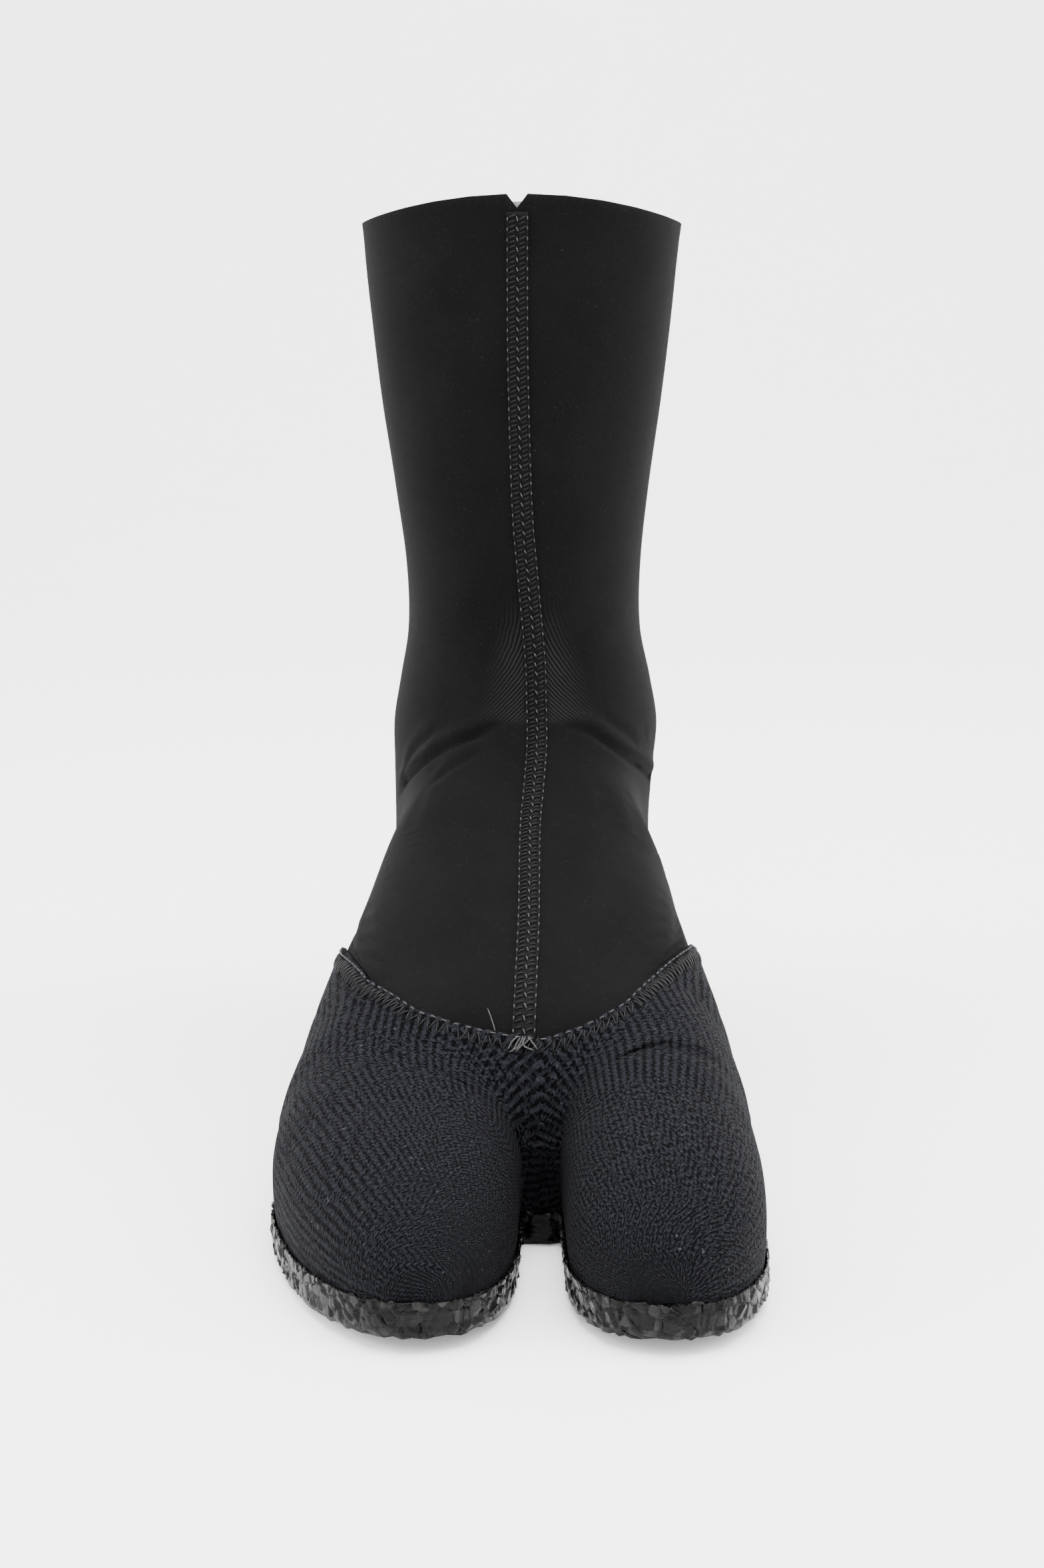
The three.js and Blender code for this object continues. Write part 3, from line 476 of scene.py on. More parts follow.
class Shader:
    """A principled material with a few short ways to wire nodes."""

    def __init__(self, name, roughness, specular=0.5, **constants):
        self.material = bpy.data.materials.new(name)
        self.material.use_nodes = True
        self.tree = self.material.node_tree
        self.surface = self.tree.nodes["Principled BSDF"]
        self.surface.inputs["Roughness"].default_value = roughness
        self.surface.inputs["Specular IOR Level"].default_value = specular
        for key, value in constants.items():
            self.surface.inputs[key.replace("_", " ")].default_value = value

    def node(self, kind, **settings):
        node = self.tree.nodes.new(kind)
        inputs = settings.pop("inputs", {})
        for key, value in settings.items():
            setattr(node, key, value)
        for key, value in inputs.items():
            self.feed(node.inputs[key], value)
        return node

    def feed(self, socket, value):
        if isinstance(value, bpy.types.NodeSocket):
            self.tree.links.new(value, socket)
        else:
            socket.default_value = value

    def math(self, operation, *values, clamp=False):
        node = self.node("ShaderNodeMath", operation=operation, use_clamp=clamp)
        for i, value in enumerate(values):
            self.feed(node.inputs[i], value)
        return node.outputs[0]

    def attribute(self, name):
        return self.node("ShaderNodeAttribute", attribute_name=name).outputs["Fac"]

    def place(self, scale=1.0):
        """Object coordinates in millimetres, times a scale."""
        coordinates = self.node("ShaderNodeTexCoord").outputs["Object"]
        node = self.node("ShaderNodeVectorMath", operation="SCALE", inputs={0: coordinates})
        node.inputs["Scale"].default_value = scale / MM
        return node.outputs[0]

    def noise(self, vector, scale, detail=3.0, rough=0.6):
        node = self.node("ShaderNodeTexNoise", inputs={"Vector": vector})
        node.inputs["Scale"].default_value = scale
        node.inputs["Detail"].default_value = detail
        node.inputs["Roughness"].default_value = rough
        return node.outputs[0]

    def span(self, value, low, high, to_low=0.0, to_high=1.0):
        node = self.node("ShaderNodeMapRange", inputs={"Value": value})
        for key, number in (("From Min", low), ("From Max", high), ("To Min", to_low), ("To Max", to_high)):
            node.inputs[key].default_value = number
        return node.outputs[0]

    def colours(self, share, *stops):
        node = self.node("ShaderNodeValToRGB", inputs={"Fac": share})
        ramp_stops = node.color_ramp.elements
        while len(ramp_stops) < len(stops):
            ramp_stops.new(0.5)
        for element, (at, colour) in zip(ramp_stops, stops):
            element.position = at
            element.color = (*colour, 1)
        return node.outputs[0]

    def finish(self, colour, height=None, deep=0.3, roughness=None):
        self.feed(self.surface.inputs["Base Color"], colour)
        if roughness is not None:
            self.feed(self.surface.inputs["Roughness"], roughness)
        if height is not None:
            bump = self.node("ShaderNodeBump", inputs={"Height": height})
            bump.inputs["Distance"].default_value = deep * MM
            self.tree.links.new(bump.outputs[0], self.surface.inputs["Normal"])
        return self.material


def neoprene_material():
    """Matte neoprene with a fine nap, stray light fibres, and fine wrinkles above the ankle fold whose ridges
    carry a painted highlight.
    """
    s = Shader("neoprene", 0.9, specular=0.035, Sheen_Weight=0.01, Sheen_Roughness=0.45)
    place = s.place()
    nap = s.noise(place, 2.6, detail=4.0, rough=0.75)
    cloud = s.noise(place, 0.045, detail=2.0)
    fibres = s.span(s.noise(place, 2.2, detail=1.0, rough=0.4), 0.7, 0.8)
    phase = s.math("ADD", s.math("MULTIPLY", s.attribute("wrinkle"), 2 * math.pi),
                   s.math("MULTIPLY", s.noise(place, 0.25, detail=1.0), 4.0))
    ridge = s.math("POWER", s.math("ADD", s.math("MULTIPLY", s.math("SINE", phase), 0.5), 0.5), 2.2)
    wrinkles = s.math("MULTIPLY", ridge, s.attribute("wrinkled"))
    height = s.math("ADD", s.math("MULTIPLY", nap, 0.5), s.math("MULTIPLY", wrinkles, 0.7))
    share = s.math("ADD", s.math("MULTIPLY", cloud, 0.5), s.math("MULTIPLY", nap, 0.5))
    base = s.colours(share, (0.3, (0.002, 0.002, 0.0021)), (0.7, (0.0041, 0.004, 0.0042)))
    # Painted highlight: the wrinkle ridges are painted lighter, beside the real light fibres.
    bright = s.math("MAXIMUM", s.math("MULTIPLY", fibres, 0.3), s.math("MULTIPLY", wrinkles, 0.4), clamp=True)
    mixed = s.node("ShaderNodeMix", data_type="RGBA",
                   inputs={0: bright, 6: base, 7: (0.035, 0.035, 0.035, 1)})
    return s.finish(mixed.outputs[2], height, deep=0.28)


def lining_material(name, light, dark):
    """Fine jersey that faces the neoprene inside the boot."""
    s = Shader(name, 0.9, specular=0.2)
    place = s.place()
    weave = s.noise(place, 2.0, detail=2.0)
    return s.finish(s.colours(weave, (0.35, dark), (0.65, light)), weave, deep=0.2)


def knit_material():
    """Jersey knit: wales of slanted legs that run to the toe tips, with painted shade in the slits between
    them.
    """
    s = Shader("knit", 0.9, specular=0.03, Sheen_Weight=0.008, Sheen_Roughness=0.5)
    place = s.place()
    uv = s.node("ShaderNodeSeparateXYZ", inputs={0: s.node("ShaderNodeUVMap", uv_map="knit").outputs[0]})
    wobble = s.math("MULTIPLY", s.math("SUBTRACT", s.noise(place, 0.2, detail=1.0), 0.5), 0.3)
    wale = s.math("ADD", uv.outputs[0], wobble)
    course = s.math("ADD", uv.outputs[1], wobble)
    across = s.math("ABSOLUTE", s.math("SUBTRACT", s.math("FRACT", wale), 0.5))
    legs = s.math("COSINE", s.math("MULTIPLY", s.math("ADD", course, across), 2 * math.pi))
    legs = s.math("ADD", s.math("MULTIPLY", legs, 0.5), 0.5)
    crown = s.span(across, 0.2, 0.5, 1.0, 0.0)
    slit = s.math("MULTIPLY", s.math("SUBTRACT", 1.0, crown),
                  s.math("ADD", s.math("MULTIPLY", legs, 0.4), 0.6))
    relief = s.math("SUBTRACT", s.math("ADD", 0.75, s.math("MULTIPLY", legs, 0.25)),
                    s.math("MULTIPLY", slit, 0.95))
    fuzz = s.noise(place, 1.2, detail=2.0, rough=0.6)
    height = s.math("ADD", relief, s.math("MULTIPLY", fuzz, 0.1))
    # The colour follows the relief: painted shade darkens the slits between wales, and the raised legs are
    # painted lighter.
    shade_share = s.math("ADD", s.math("MULTIPLY", relief, 0.88), s.math("MULTIPLY", fuzz, 0.12))
    base = s.colours(shade_share, (0.2, (0.0002, 0.0002, 0.0003)), (0.6, (0.0024, 0.0025, 0.0034)),
                     (0.95, (0.011, 0.0114, 0.0142)))
    specks = s.span(s.noise(place, 0.9, detail=1.0, rough=0.3), 0.74, 0.8)
    mixed = s.node("ShaderNodeMix", data_type="RGBA",
                   inputs={0: s.math("MULTIPLY", specks, 0.15), 6: base, 7: (0.14, 0.14, 0.15, 1)})
    return s.finish(mixed.outputs[2], height, deep=0.6)


def rubber_material():
    """Glossy moulded rubber: polished cell faces, a few painted light as a painted highlight, and rougher
    grooves and pits mixed to one flat dark grey.
    """
    s = Shader("rubber", 0.3, specular=0.1)
    place = s.place()
    groove = s.attribute("groove")
    grain = s.noise(place, 1.6, detail=4.0, rough=0.6)
    # The cell tone sets the colour: most cells dark, and the few with the highest tone painted light as a
    # painted highlight of facets catching the lamp.
    tone = s.math("ADD", s.math("MULTIPLY", grain, 0.25), s.math("MULTIPLY", s.attribute("cell"), 0.75))
    base = s.colours(tone, (0.2, (0.0006, 0.0006, 0.0006)), (0.62, (0.0016, 0.0016, 0.0016)),
                     (0.94, (0.024, 0.024, 0.0235)))
    # Grooves and pits are mixed to one flat dark grey and made rougher.
    dark = s.node("ShaderNodeMix", data_type="RGBA", inputs={0: groove, 6: base, 7: (0.004, 0.004, 0.004, 1)})
    rough = s.span(s.math("ADD", s.math("MULTIPLY", grain, 0.5), s.math("MULTIPLY", groove, 0.6)),
                   0.2, 0.9, 0.18, 0.6)
    return s.finish(dark.outputs[2], grain, deep=0.15, roughness=rough)


def thread_material(name, dark, light, roughness=0.5, specular=0.15):
    s = Shader(name, roughness, specular=specular)
    place = s.place()
    twist = s.noise(place, 2.2, detail=2.0)
    return s.finish(s.colours(twist, (0.3, dark), (0.7, light)), twist, deep=0.12)


def plain_material(name, colour, roughness, glow):
    s = Shader(name, roughness, specular=0.3, Emission_Color=(1, 1, 0.995, 1), Emission_Strength=glow)
    grain = s.noise(s.place(), 0.02, detail=1.0)
    near = tuple(c * 0.99 for c in colour)
    return s.finish(s.colours(grain, (0.3, near), (0.7, colour)))


def tree_of(points):
    tree = KDTree(len(points))
    for i, place in enumerate(points):
        tree.insert(place, i)
    tree.balance()
    return tree


def fold_shape(points):
    """How far the ankle folds push each point in or out."""
    total = np.zeros(len(points))
    for fold in FOLDS:
        line = even(on_boot(through(fold["line"], FOLD_STEPS)), FOLD_STEPS)
        tree = tree_of(line)
        close = (points > line.min(0) - FOLD_REACH) & (points < line.max(0) + FOLD_REACH)
        for i in np.flatnonzero(close.all(1)):
            _, found, _ = tree.find(points[i])
            away = points[i] - line[found]
            reach = float(np.linalg.norm(away))
            fade = min(min(found, len(line) - 1 - found) / FOLD_ENDS, 1.0)
            if reach > FOLD_REACH or fade == 0:
                continue
            trough = math.exp(-((reach / TROUGH_WIDTH) ** 2))
            shoulder = math.exp(-(((reach - SHOULDER_AT) / SHOULDER_WIDTH) ** 2))
            shoulder *= SHOULDER_ABOVE if away[2] > 0 else SHOULDER_BELOW
            total[i] += fold["deep"] * (shoulder - trough) * fade
    return total


def lumps(points):
    """Soft hand-made unevenness of the boot's skin."""
    total = np.zeros(len(points))
    for depth, first, second in LUMPS:
        total += depth * np.sin(points @ first[:3] + first[3]) * np.sin(points @ second[:3] + second[3])
    return total


def make_boot(neoprene, lining, seam):
    points, triangles = solid_arrays("upper")

    def limit(place):
        start, low, high = FOLD_ZONE
        front = (place[:, 1] > start) & (place[:, 2] > low) & (place[:, 2] < high)
        return np.where(front, FOLD_EDGE, BODY_EDGE) * FINE

    points, triangles = refine(points, triangles, limit)
    facing, _ = outward(points, triangles)
    outer, inner = facing > FACING, facing < -FACING
    moved = points.copy()
    skin, normal = settle(points[outer])
    skin = points[outer] + short(skin - points[outer], MOST_MOVE)
    height = points[outer][:, 2]
    fade = ramp(HEIGHT - height, *RIM_FADE) * ramp(height, *SOLE_FADE)
    push = lumps(skin) * fade + fold_shape(skin)
    moved[outer] = skin + normal * push[:, None]
    inside = inner[triangles].sum(1) >= 2
    piece = make_mesh("boot_body", moved, triangles, [neoprene, lining], ["upper"],
                      face_material=inside.astype(int))
    wrinkle, wrinkled = wrinkle_field(moved, outer, seam)
    put_points(piece, "wrinkle", wrinkle)
    put_points(piece, "wrinkled", wrinkled)
    return piece


def wrinkle_field(points, outer, seam):
    """Fine wrinkles run down beside the seam and fan out towards the ankle fold; their mask sets both their
    relief and their painted highlight.
    """
    pitch, top, bottom, fan_from, fan = 1.15, 142.0, 104.0, 138.0, 0.0184
    order = np.argsort(seam.line[:, 2])
    centre = np.interp(points[:, 2], seam.line[order, 2], seam.line[order, 0])
    away = np.abs(points[:, 0] - centre)
    spread = fan * np.maximum(fan_from - points[:, 2], 0) ** 2
    start = away - SEAM_HALF - spread
    low = 1 - ramp(points[:, 2], bottom, bottom + 30)
    tall = ramp(points[:, 2], bottom, bottom + 3) * ramp(-points[:, 2], -top, -top + 24)
    wide = ramp(SEAM_HALF - away, -8 - 7 * low, -1.0)
    near = outer & (points[:, 1] > 75) & (away > SEAM_HALF)
    return start / pitch, np.where(near, tall * wide, 0)


def cover_edge():
    """The cover's rear edge, read from its solid, from the little toe's side over to the big toe's side."""
    points, triangles = solid_arrays("toe_cover")
    facing, _ = outward(points, triangles)
    outer = facing > FACING
    mixed = outer[triangles].any(1) & ~outer[triangles].all(1)
    corners = points[triangles]
    cross = np.cross(corners[:, 1] - corners[:, 0], corners[:, 2] - corners[:, 0])
    cross /= np.maximum(np.linalg.norm(cross, axis=1), 1e-9)[:, None]
    middle = corners.mean(1)
    rear = mixed & (cross[:, 1] < -0.2) & (middle[:, 2] > COVER_LOW) & (middle[:, 1] < COVER_FROM)
    edge = np.unique(triangles[rear][outer[triangles[rear]]])
    edge = points[edge]
    middle_z = edge[:, 2].min() + 8
    order = np.argsort(np.arctan2(edge[:, 0], edge[:, 2] - middle_z))
    return edge[order]


def relax(points, triangles, chosen, rounds):
    """Smooths the chosen points towards their neighbours."""
    pairs = np.vstack([triangles[:, [0, 1]], triangles[:, [1, 2]], triangles[:, [2, 0]]])
    count = np.maximum(np.bincount(pairs[:, 0], minlength=len(points)), 1)
    for _ in range(rounds):
        total = np.zeros_like(points)
        np.add.at(total, pairs[:, 0], points[pairs[:, 1]])
        points = np.where(chosen[:, None], (points + total / count[:, None]) / 2, points)
    return points


def make_cover(knit, cover_path):
    points, triangles = solid_arrays("toe_cover")
    points, triangles = refine(points, triangles, lambda place: np.full(len(place), COVER_MESH * FINE))
    facing, _ = outward(points, triangles)
    outer = facing > 0
    tree = tree_of(cover_path.line)
    edge = np.array([tree.find(place)[2] for place in points])
    thick = COVER_EDGE + (COVER - COVER_EDGE) * np.sqrt(np.clip(edge / COVER_ROUND, 0, 1))
    skin, normal = settle(points)
    level = np.where(outer, FIT + thick, FIT)
    most = np.where(outer, MOST_MOVE + COVER - thick, MOST_MOVE)
    moved = points + short(skin + normal * level[:, None] - points, most)
    on_bed = points[:, 2] < COVER_BED
    moved[on_bed] = points[on_bed]
    start, end, low = CREASE_ZONE
    zone = (moved[:, 1] > start) & (moved[:, 1] < end) & (moved[:, 2] > low) & (facing > 0.8) & (edge > 2.5)
    moved = relax(moved, triangles, zone, CREASE_ROUNDS)
    piece = make_mesh("toe_cover_knit", moved, triangles, [knit], ["toe_cover"])
    corners = moved[triangles]
    uv = knit_coordinates(corners.reshape(-1, 3), np.repeat(corners.mean(1), 3, axis=0))
    layer = piece.data.uv_layers.new(name="knit")
    layer.data.foreach_set("uv", uv.reshape(-1).astype(np.float32))
    return piece


def nose_arc(nose, width):
    """Arc length over a rounded nose from its start, for angles from its side to its tip."""
    start, end, power = nose
    angle = np.linspace(0, math.pi / 2, 120)
    reach = (np.cos(angle) ** power + np.sin(angle) ** power) ** (-1 / power)
    places = np.column_stack([reach * np.cos(angle) * width, reach * np.sin(angle) * (end - start) * FOOT])
    steps = np.linalg.norm(np.diff(places, axis=0), axis=1)
    return angle, np.concatenate([[0], np.cumsum(steps)])


def lobe_coordinates(table, nose, pole, points):
    """Turn round a toe lobe's axis, and distance from the heel over its surface to the toe's tip."""
    x, along, z = points.T
    at = along / FOOT
    start, end, power = nose
    t = np.clip((at - start) / (end - start), 0, 1)
    size = np.maximum((1 - t**power) ** (1 / power), NOSE_END)
    widest = read(table, 2, at) * INSTEP
    centre = widest * (NOSE_DROP + (1 - NOSE_DROP) * size)
    across, up = x - read(table, 3, at) * BALL, z - centre
    half_up = np.where(up > 0, read(table, 1, at) * INSTEP - centre, centre + read(table, 5, at) * INSTEP)
    square = read(table, 6, at)
    spread = np.abs(across / (read(table, 4, at) * BALL)) ** square + np.abs(up / half_up) ** square
    spread = spread ** (1 / square)
    angle, arc = nose_arc(nose, KNIT_RADIUS)
    over = np.interp(np.arctan2(t, spread), angle, arc)
    turn = np.arctan2(across - pole * ramp(at, 0.66, 0.96), up)
    return turn, np.where(at < start, along, start * FOOT + over)


def knit_coordinates(points, middle):
    """Wales turn round each toe lobe's own axis, and courses follow the surface to its tip."""
    split = ramp(points[:, 1], *KNIT_SPLIT)
    left = lobe_coordinates(LATERAL_TOES, LATERAL_NOSE, LATERAL_POLE, points)
    right = lobe_coordinates(BIG_TOE, BIG_NOSE, BIG_POLE, points)
    lateral = middle[:, 0] < WEB_MIDDLE
    lobe_turn, lobe_run = (np.where(lateral, a, b) for a, b in zip(left, right))
    axis = read(INSTEP_BALL, 2, points[:, 1] / FOOT) * INSTEP * KNIT_AXIS
    whole_turn = np.arctan2(points[:, 0], points[:, 2] - axis)
    aside = np.where(lateral, -KNIT_ASIDE, KNIT_ASIDE)
    turn = (whole_turn * KNIT_SPREAD - aside) * (1 - split) + lobe_turn * split
    return np.column_stack([turn * KNIT_RADIUS / WALE, lobe_run / COURSE])


def cell_relief(points):
    """Irregular polygonal cells: the height of each point, its groove share and its cell's random tone, which
    picks the pitted cells and the cells painted light as a painted highlight.
    """
    low, high = points.min(0) - CELL, points.max(0) + CELL
    counts = np.ceil((high - low) / CELL).astype(int)
    spots = np.stack(np.meshgrid(*[np.arange(n) for n in counts], indexing="ij"), -1).reshape(-1, 3)
    random = np.random.default_rng(7)
    spots = low + (spots + random.uniform(0.08, 0.92, spots.shape)) * CELL
    tree = tree_of(spots)
    tone = random.uniform(0, 1, len(spots))
    tilt = random.normal(0, CELL_TILT, (len(spots), 3))
    high_cell = random.uniform(*CELL_HEIGHTS, len(spots))
    height, groove, tones = np.zeros(len(points)), np.zeros(len(points)), np.zeros(len(points))
    for i, place in enumerate(points):
        (a, first, near), (b, second, far) = tree.find_n(place, 2)
        gap = (far**2 - near**2) / (2 * (b - a).length)
        share = min(gap / CELL_GROOVE, 1.0)
        face = high_cell[first] + float(tilt[first] @ (place - spots[first]))
        pit = tone[first] > PIT_SHARE
        if pit:
            face -= PIT_DEEP * max(0.0, 1 - near / PIT_RADIUS)
        height[i] = face * share - GROOVE_DEEP * (1 - share) ** 1.5
        groove[i] = (1 - share) ** 1.5 + (0.8 if pit and near < 0.9 else 0)
        tones[i] = tone[first]
    return height, np.clip(groove, 0, 1), tones


def bed_height(along):
    """Height of the sole's underside: the arch and the toe spring."""
    at = along / FOOT
    arch = ARCH_RISE * ramp(at, *ARCH_START) * (1 - ramp(at, *ARCH_END))
    return arch + SPRING_RISE * ramp(at, *SPRING)


def hug(points):
    """How the drawn rubber is drawn in, level, so that it lies close round the knit and the neoprene."""
    at_wall = points.copy()
    at_wall[:, 2] = np.maximum(at_wall[:, 2], HUG_LOW)
    ground, _ = settle(at_wall, rounds=5)
    out = at_wall - ground
    away = np.where(body(at_wall) > 0, np.linalg.norm(out, axis=1), 0)
    near = np.maximum(HUG_FROM + (away - HUG_WALL) * HUG_SHARE, HUG_FROM)
    move = np.clip(away - near, 0, HUG_MOST) * (away > HUG_FROM)
    out[:, 2] = 0
    return out / np.maximum(np.linalg.norm(out, axis=1), 1e-9)[:, None] * move[:, None]


def make_sole(rubber):
    points, triangles = solid_arrays("outsole")

    def limit(place):
        hidden = (place[:, 2] > 3.4) & (body(place) < -2.5)
        under = place[:, 2] < bed_height(place[:, 1]) + 0.4
        side = np.where(place[:, 1] > SOLE_TOES_FROM, SOLE_TOES, SOLE_HEEL)
        return np.where(hidden, SOLE_HIDDEN, np.where(under, SOLE_UNDER, side)) * FINE

    points, triangles = refine(points, triangles, limit, rounds=12)
    _, normal = outward(points, triangles)
    inward = (body(points) / np.linalg.norm(slope_at(points), axis=1) < 1.7) & (points[:, 2] > 4.0)
    lip = inward & (normal[:, 2] > 0.6) & (body(points) > 0.2)
    points = points - hug(points)
    over_bed = points[:, 2] - bed_height(points[:, 1]) - LIP_FROM
    lowered = np.where((over_bed > 0) & (body(points) > 0.5), over_bed * LIP_CUT, 0)
    points[:, 2] -= lowered
    height, groove, tone = cell_relief(points)
    facing_down = normal[:, 2] < -0.7
    height = np.where(facing_down, np.minimum(height - 0.15, 0), height)
    height = np.where(inward & ~lip, 0, height)
    moved = points + normal * height[:, None]
    moved[:, 2] = np.maximum(moved[:, 2], 0.02)
    piece = make_mesh("outsole_rubber", moved, triangles, [rubber], ["outsole"])
    put_points(piece, "groove", np.where(inward & ~lip, 0, groove))
    # cell: the random tone behind the painted highlight on a few cells
    put_points(piece, "cell", tone)
    return piece


def make_insole(lining):
    points, triangles = solid_arrays("insole")
    points, triangles = refine(points, triangles, lambda place: np.full(len(place), INSOLE_MESH))
    return make_mesh("insole_sheet", points, triangles, [lining], ["insole"], smooth=False)


def swept(stations):
    """Closed strip from rings of equal size: points and faces."""
    count, size, _ = stations.shape
    faces = []
    for i in range(count - 1):
        for j in range(size):
            k = (j + 1) % size
            faces.append([i * size + j, i * size + k, (i + 1) * size + k, (i + 1) * size + j])
    faces.append(list(range(size))[::-1])
    faces.append([(count - 1) * size + j for j in range(size)])
    return stations.reshape(-1, 3), [face[::-1] for face in faces]


def make_band(name, path, material, node):
    """The raised band of a flat seam: rounded edges and a shallow middle groove."""
    profile = [(-2.75, -0.25), (-2.7, 0.3), (-2.35, 0.55), (-2.0, 0.4), (-1.2, 0.85), (-0.4, 0.75), (0, 0.55),
               (0.4, 0.75), (1.2, 0.85), (2.0, 0.4), (2.35, 0.55), (2.7, 0.3), (2.75, -0.25)]
    runs = np.linspace(0, path.length, int(path.length / (1.0 * FINE)))
    rings = np.stack([path.at(runs, offset, level) for offset, level in profile], axis=1)
    points, faces = swept(rings)
    return make_mesh(name, points, faces, [material], [node])


def tubes(lines, radius):
    """Round threads with tapered ends along short lines: points and faces, joined."""
    sides = THREAD_SIDES
    angles = np.linspace(0, 2 * math.pi, sides, endpoint=False)
    ahead = np.vstack([np.gradient(np.asarray(line, float), axis=0) for line in lines])
    ahead /= np.maximum(np.linalg.norm(ahead, axis=1), 1e-9)[:, None]
    centres = np.vstack(lines)
    up = slope_at(centres)
    side = np.cross(ahead, up)
    side /= np.maximum(np.linalg.norm(side, axis=1), 1e-9)[:, None]
    up = np.cross(side, ahead)
    taper = np.concatenate([[THREAD_END] + [1.0] * (len(line) - 2) + [THREAD_END] for line in lines])
    ring = side[:, None] * np.cos(angles)[None, :, None] + up[:, None] * np.sin(angles)[None, :, None]
    points = (centres[:, None] + ring * (radius * taper)[:, None, None]).reshape(-1, 3)
    faces, base = [], 0
    for line in lines:
        for i in range(len(line) - 1):
            for j in range(sides):
                k = (j + 1) % sides
                a, b = base + i * sides, base + (i + 1) * sides
                faces.append([a + j, b + j, b + k, a + k])
        faces.append([base + j for j in range(sides)])
        faces.append([base + (len(line) - 1) * sides + j for j in range(sides)][::-1])
        base += len(line) * sides
    return points, faces


def bent(first, last, low, high):
    """A thread over the seam from one (run, offset) to another, arched from low up to high."""
    t = np.linspace(0, 1, THREAD_POINTS)
    level = low + (high - low) * np.sin(np.pi * t)
    return first[0] + (last[0] - first[0]) * t, first[1] + (last[1] - first[1]) * t, level


def seam_threads(path, pitch_top, pitch_end, start=1.0):
    """Ladder threads, the middle chain and the two edge columns of a flat seam."""
    ladder, bright = [], []
    random = np.random.default_rng(3)
    run = start
    while run < path.length - 1.0:
        pitch = pitch_top + (pitch_end - pitch_top) * ramp(run / path.length, 0.55, 1)
        half = run + 0.5 * pitch
        jitter = random.uniform(-JITTER, JITTER, 6)
        for left in (run, half):
            ladder.append(bent((left + 0.35, -2.2 + jitter[0]), (left - 0.3 + jitter[1], -0.3), 0.55, 1.15))
        ladder.append(bent((run + 0.9 + jitter[2], 0.1), (run - 0.1, 2.25), 0.6, 1.25))
        ladder.append(bent((half + 0.7, 0.35), (half + jitter[3], 2.0), 0.55, 0.95))
        bright.append(bent((run + 0.1, -0.25), (run + 0.55 * pitch, 0.3 + jitter[4]), 0.7, 1.15))
        for offset, shift in SEAM_EDGES:
            from_run = run + shift + jitter[5]
            bright.append(bent((from_run, offset), (from_run + 0.4 * pitch, offset), 0.2, 0.8))
        run += pitch
    return ladder, bright


def laid(path, threads):
    """Places all threads of a seam on the boot in one go."""
    sizes = [len(thread[0]) for thread in threads]
    runs, offsets, levels = (np.concatenate([thread[i] for thread in threads]) for i in range(3))
    points = path.at(runs, offsets, levels)
    return np.split(points, np.cumsum(sizes)[:-1])


def make_threads(name, lines, radius, material):
    points, faces = tubes(lines, radius)
    return make_mesh(name, points, faces, [material])


def cover_stitches(path):
    """The row of dashes on the cover's edge and the zigzag on the knit below it."""
    dashes, zigzag = [], []
    random = np.random.default_rng(11)
    over, start, end, inset, zigzag_inset = FIT + COVER, 1.5, path.length - 3, 0.5, 1.1
    middle = path.length / 2
    run = start
    while run < end:
        near = 1 - ramp(abs(run - middle), 15, 60)
        pitch = 2.3 + 0.6 * near
        dashes.append(bent((run, inset), (run + 0.74 * pitch, inset), over - 0.55, over + 0.05))
        run += pitch
    run = start
    while run < end:
        near = 1 - ramp(abs(run - middle), 12, 42)
        step = 1.75 + 0.7 * near
        lean = (0.45 + 0.75 * near) * (1 if run < middle else -1)
        wide = 4.6 + random.uniform(-0.4, 0.4)
        low = (run + lean, wide)
        zigzag.append(bent((run, zigzag_inset), low, over - 0.1, over + 0.3))
        back = (run + step * random.uniform(0.75, 1.0), zigzag_inset)
        zigzag.append(bent(low, back, over - 0.1, over + 0.18))
        run += step
    return dashes, zigzag


def make_stage(paper):
    """Floor that curves up behind the boot."""
    wide, front, bend_from, radius, tall, steps = 3.0, -2.2, 0.9, 0.7, 2.2, 16
    profile = [(front, 0.0), (bend_from, 0.0)]
    for i in range(1, steps + 1):
        angle = math.pi / 2 * i / steps
        profile.append((bend_from + radius * math.sin(angle), radius * (1 - math.cos(angle))))
    profile.append((bend_from + radius, tall))
    places = [(x, y, z) for y, z in profile for x in (-wide, wide)]
    faces = [[2 * i, 2 * i + 1, 2 * i + 3, 2 * i + 2] for i in range(len(profile) - 1)]
    mesh = bpy.data.meshes.new("studio_floor")
    mesh.from_pydata(places, [], faces)
    mesh.polygons.foreach_set("use_smooth", [True] * len(faces))
    mesh.materials.append(paper)
    floor = bpy.data.objects.new("studio_floor", mesh)
    bpy.context.scene.collection.objects.link(floor)


def add_light(name, place, aim, size, power):
    light = bpy.data.lights.new(name, "AREA")
    light.shape = "RECTANGLE"
    light.size, light.size_y = size
    light.energy = power
    lamp = bpy.data.objects.new(name, light)
    lamp.location = place
    lamp.rotation_euler = (Vector(aim) - Vector(place)).to_track_quat("-Z", "Y").to_euler()
    bpy.context.scene.collection.objects.link(lamp)


def light_studio():
    world = bpy.data.worlds.new("studio")
    bpy.context.scene.world = world
    world.use_nodes = True
    background = world.node_tree.nodes["Background"]
    background.inputs["Color"].default_value = (1.0, 1.0, 0.995, 1)
    background.inputs["Strength"].default_value = SKY
    for light in LIGHTS:
        add_light(*light)


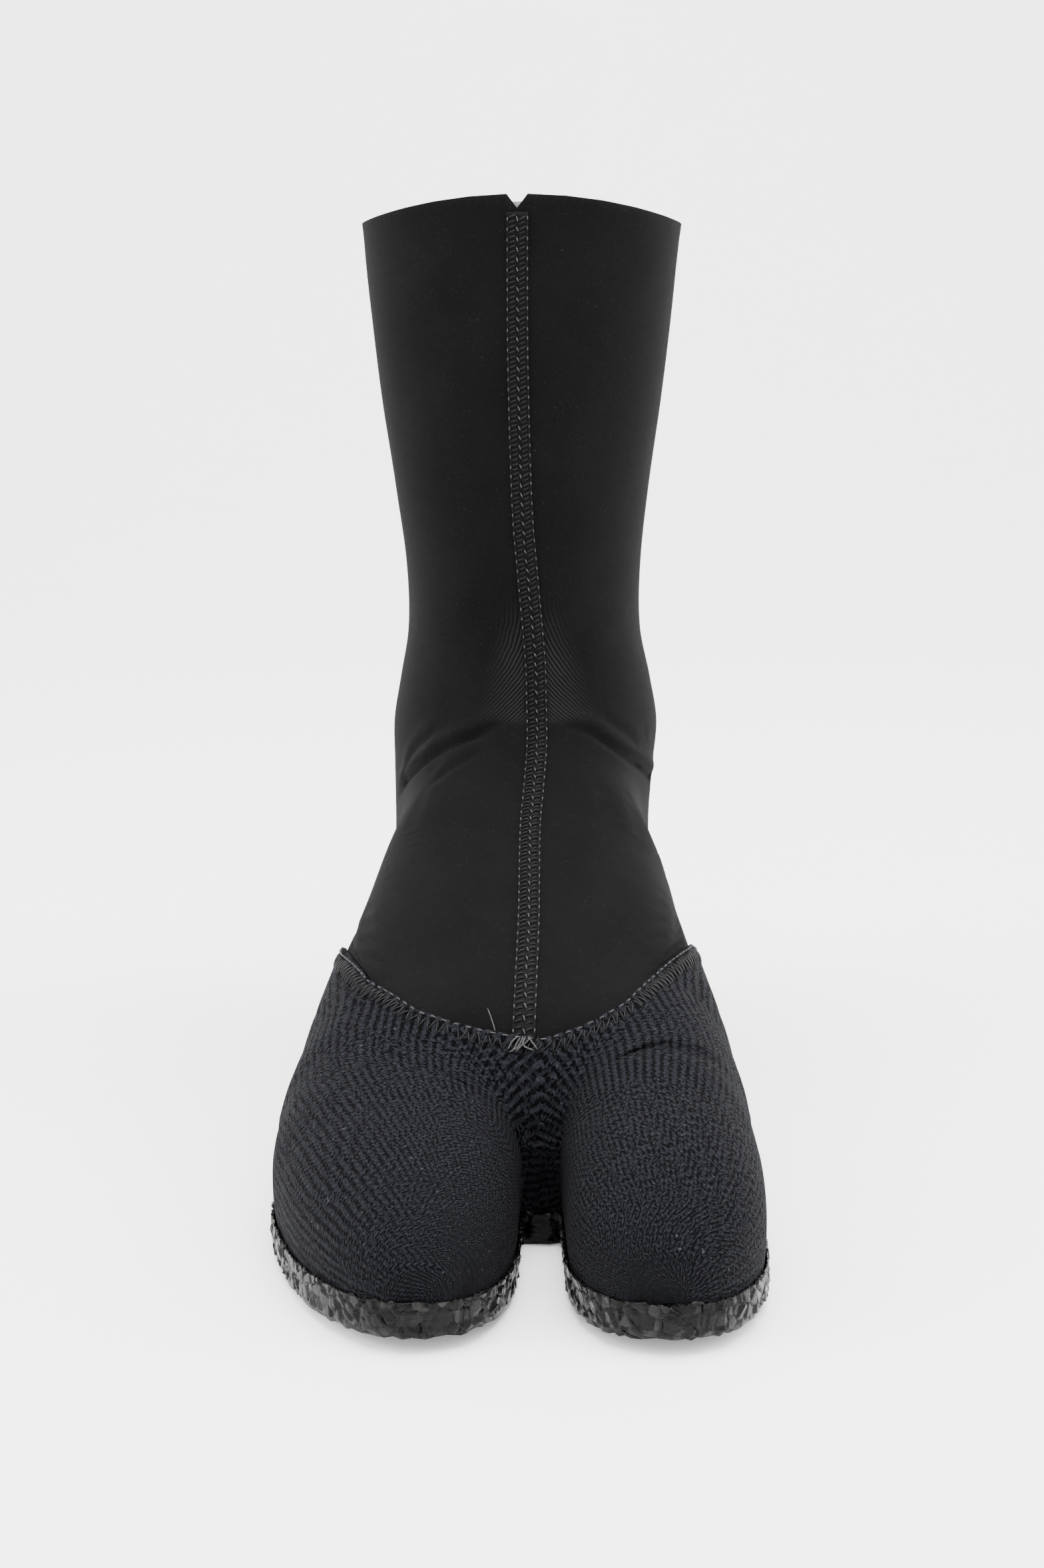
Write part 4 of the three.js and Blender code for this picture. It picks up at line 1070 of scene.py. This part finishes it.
def add_camera():
    data = bpy.data.cameras.new("camera")
    data.sensor_fit = "VERTICAL"
    data.sensor_height = 36.0
    data.sensor_width = 36.0
    data.lens = FOCAL / PHOTO_HEIGHT * data.sensor_height
    data.clip_end = 20
    camera = bpy.data.objects.new("camera", data)
    camera.location = (SHIFT_X * MM, (SHIFT_Y - CAMERA_ALONG) * MM, CAMERA_Z * MM)
    camera.rotation_euler = (math.pi / 2 - CAMERA_TILT, 0, 0)
    bpy.context.scene.collection.objects.link(camera)
    bpy.context.scene.camera = camera


def back_line():
    """The back of the leg, from the collar down to the sole."""
    heights = np.linspace(HEIGHT - 3.5, 19, 60)
    along = ANKLE_AXIS - read(LEG, 1, heights / HEIGHT) * ANKLE_DEPTH
    return np.column_stack([np.zeros(60), along, heights])


def main():
    add_camera()
    light_studio()
    make_stage(plain_material("paper", (0.95, 0.95, 0.945), 0.9, 0.22))
    thread = thread_material("thread", (0.0015, 0.0015, 0.0017), (0.0065, 0.0065, 0.007), 0.45)
    band = thread_material("band", (0.0003, 0.0003, 0.0003), (0.001, 0.001, 0.001), 0.9)
    light_thread = thread_material("thread_light", (0.008, 0.008, 0.0085), (0.04, 0.04, 0.04), 0.4, 0.25)
    seam_path = Path(on_boot(through(SEAM_LINE, 120)))
    cover_path = Path(cover_edge(), turn=-1)
    back_path = Path(back_line())
    grey = lining_material("lining", (0.16, 0.16, 0.165), (0.08, 0.08, 0.085))
    make_boot(neoprene_material(), grey, seam_path)
    make_cover(knit_material(), cover_path)
    make_sole(rubber_material())
    make_insole(grey)
    for name, path, node, ends in (("front_seam_band", seam_path, "front_seam", (2.5, 3.4)),
                                   ("back_seam_band", back_path, "back_seam", (2.5, 2.5))):
        make_band(name, path, band, node)
        ladder, bright = seam_threads(path, *ends)
        make_threads(name + "_ladder", laid(path, ladder), THREAD, thread)
        make_threads(name + "_dots", laid(path, bright), THREAD, light_thread)
    dashes, zigzag = cover_stitches(cover_path)
    make_threads("cover_dashes", laid(cover_path, dashes), THREAD, light_thread)
    make_threads("cover_zigzag", laid(cover_path, zigzag), ZIGZAG, thread)
    tuft = [lift(even(on_boot(through(line, 9)), 9), FIT + COVER + 0.5) for line in TUFT]
    make_threads("seam_tuft", tuft, TUFT_THREAD, light_thread)
    scuff = [lift(on_boot(through(SCUFF, 9)), 0.02)]
    make_threads("scuff", scuff, SCUFF_THREAD, light_thread)


main()
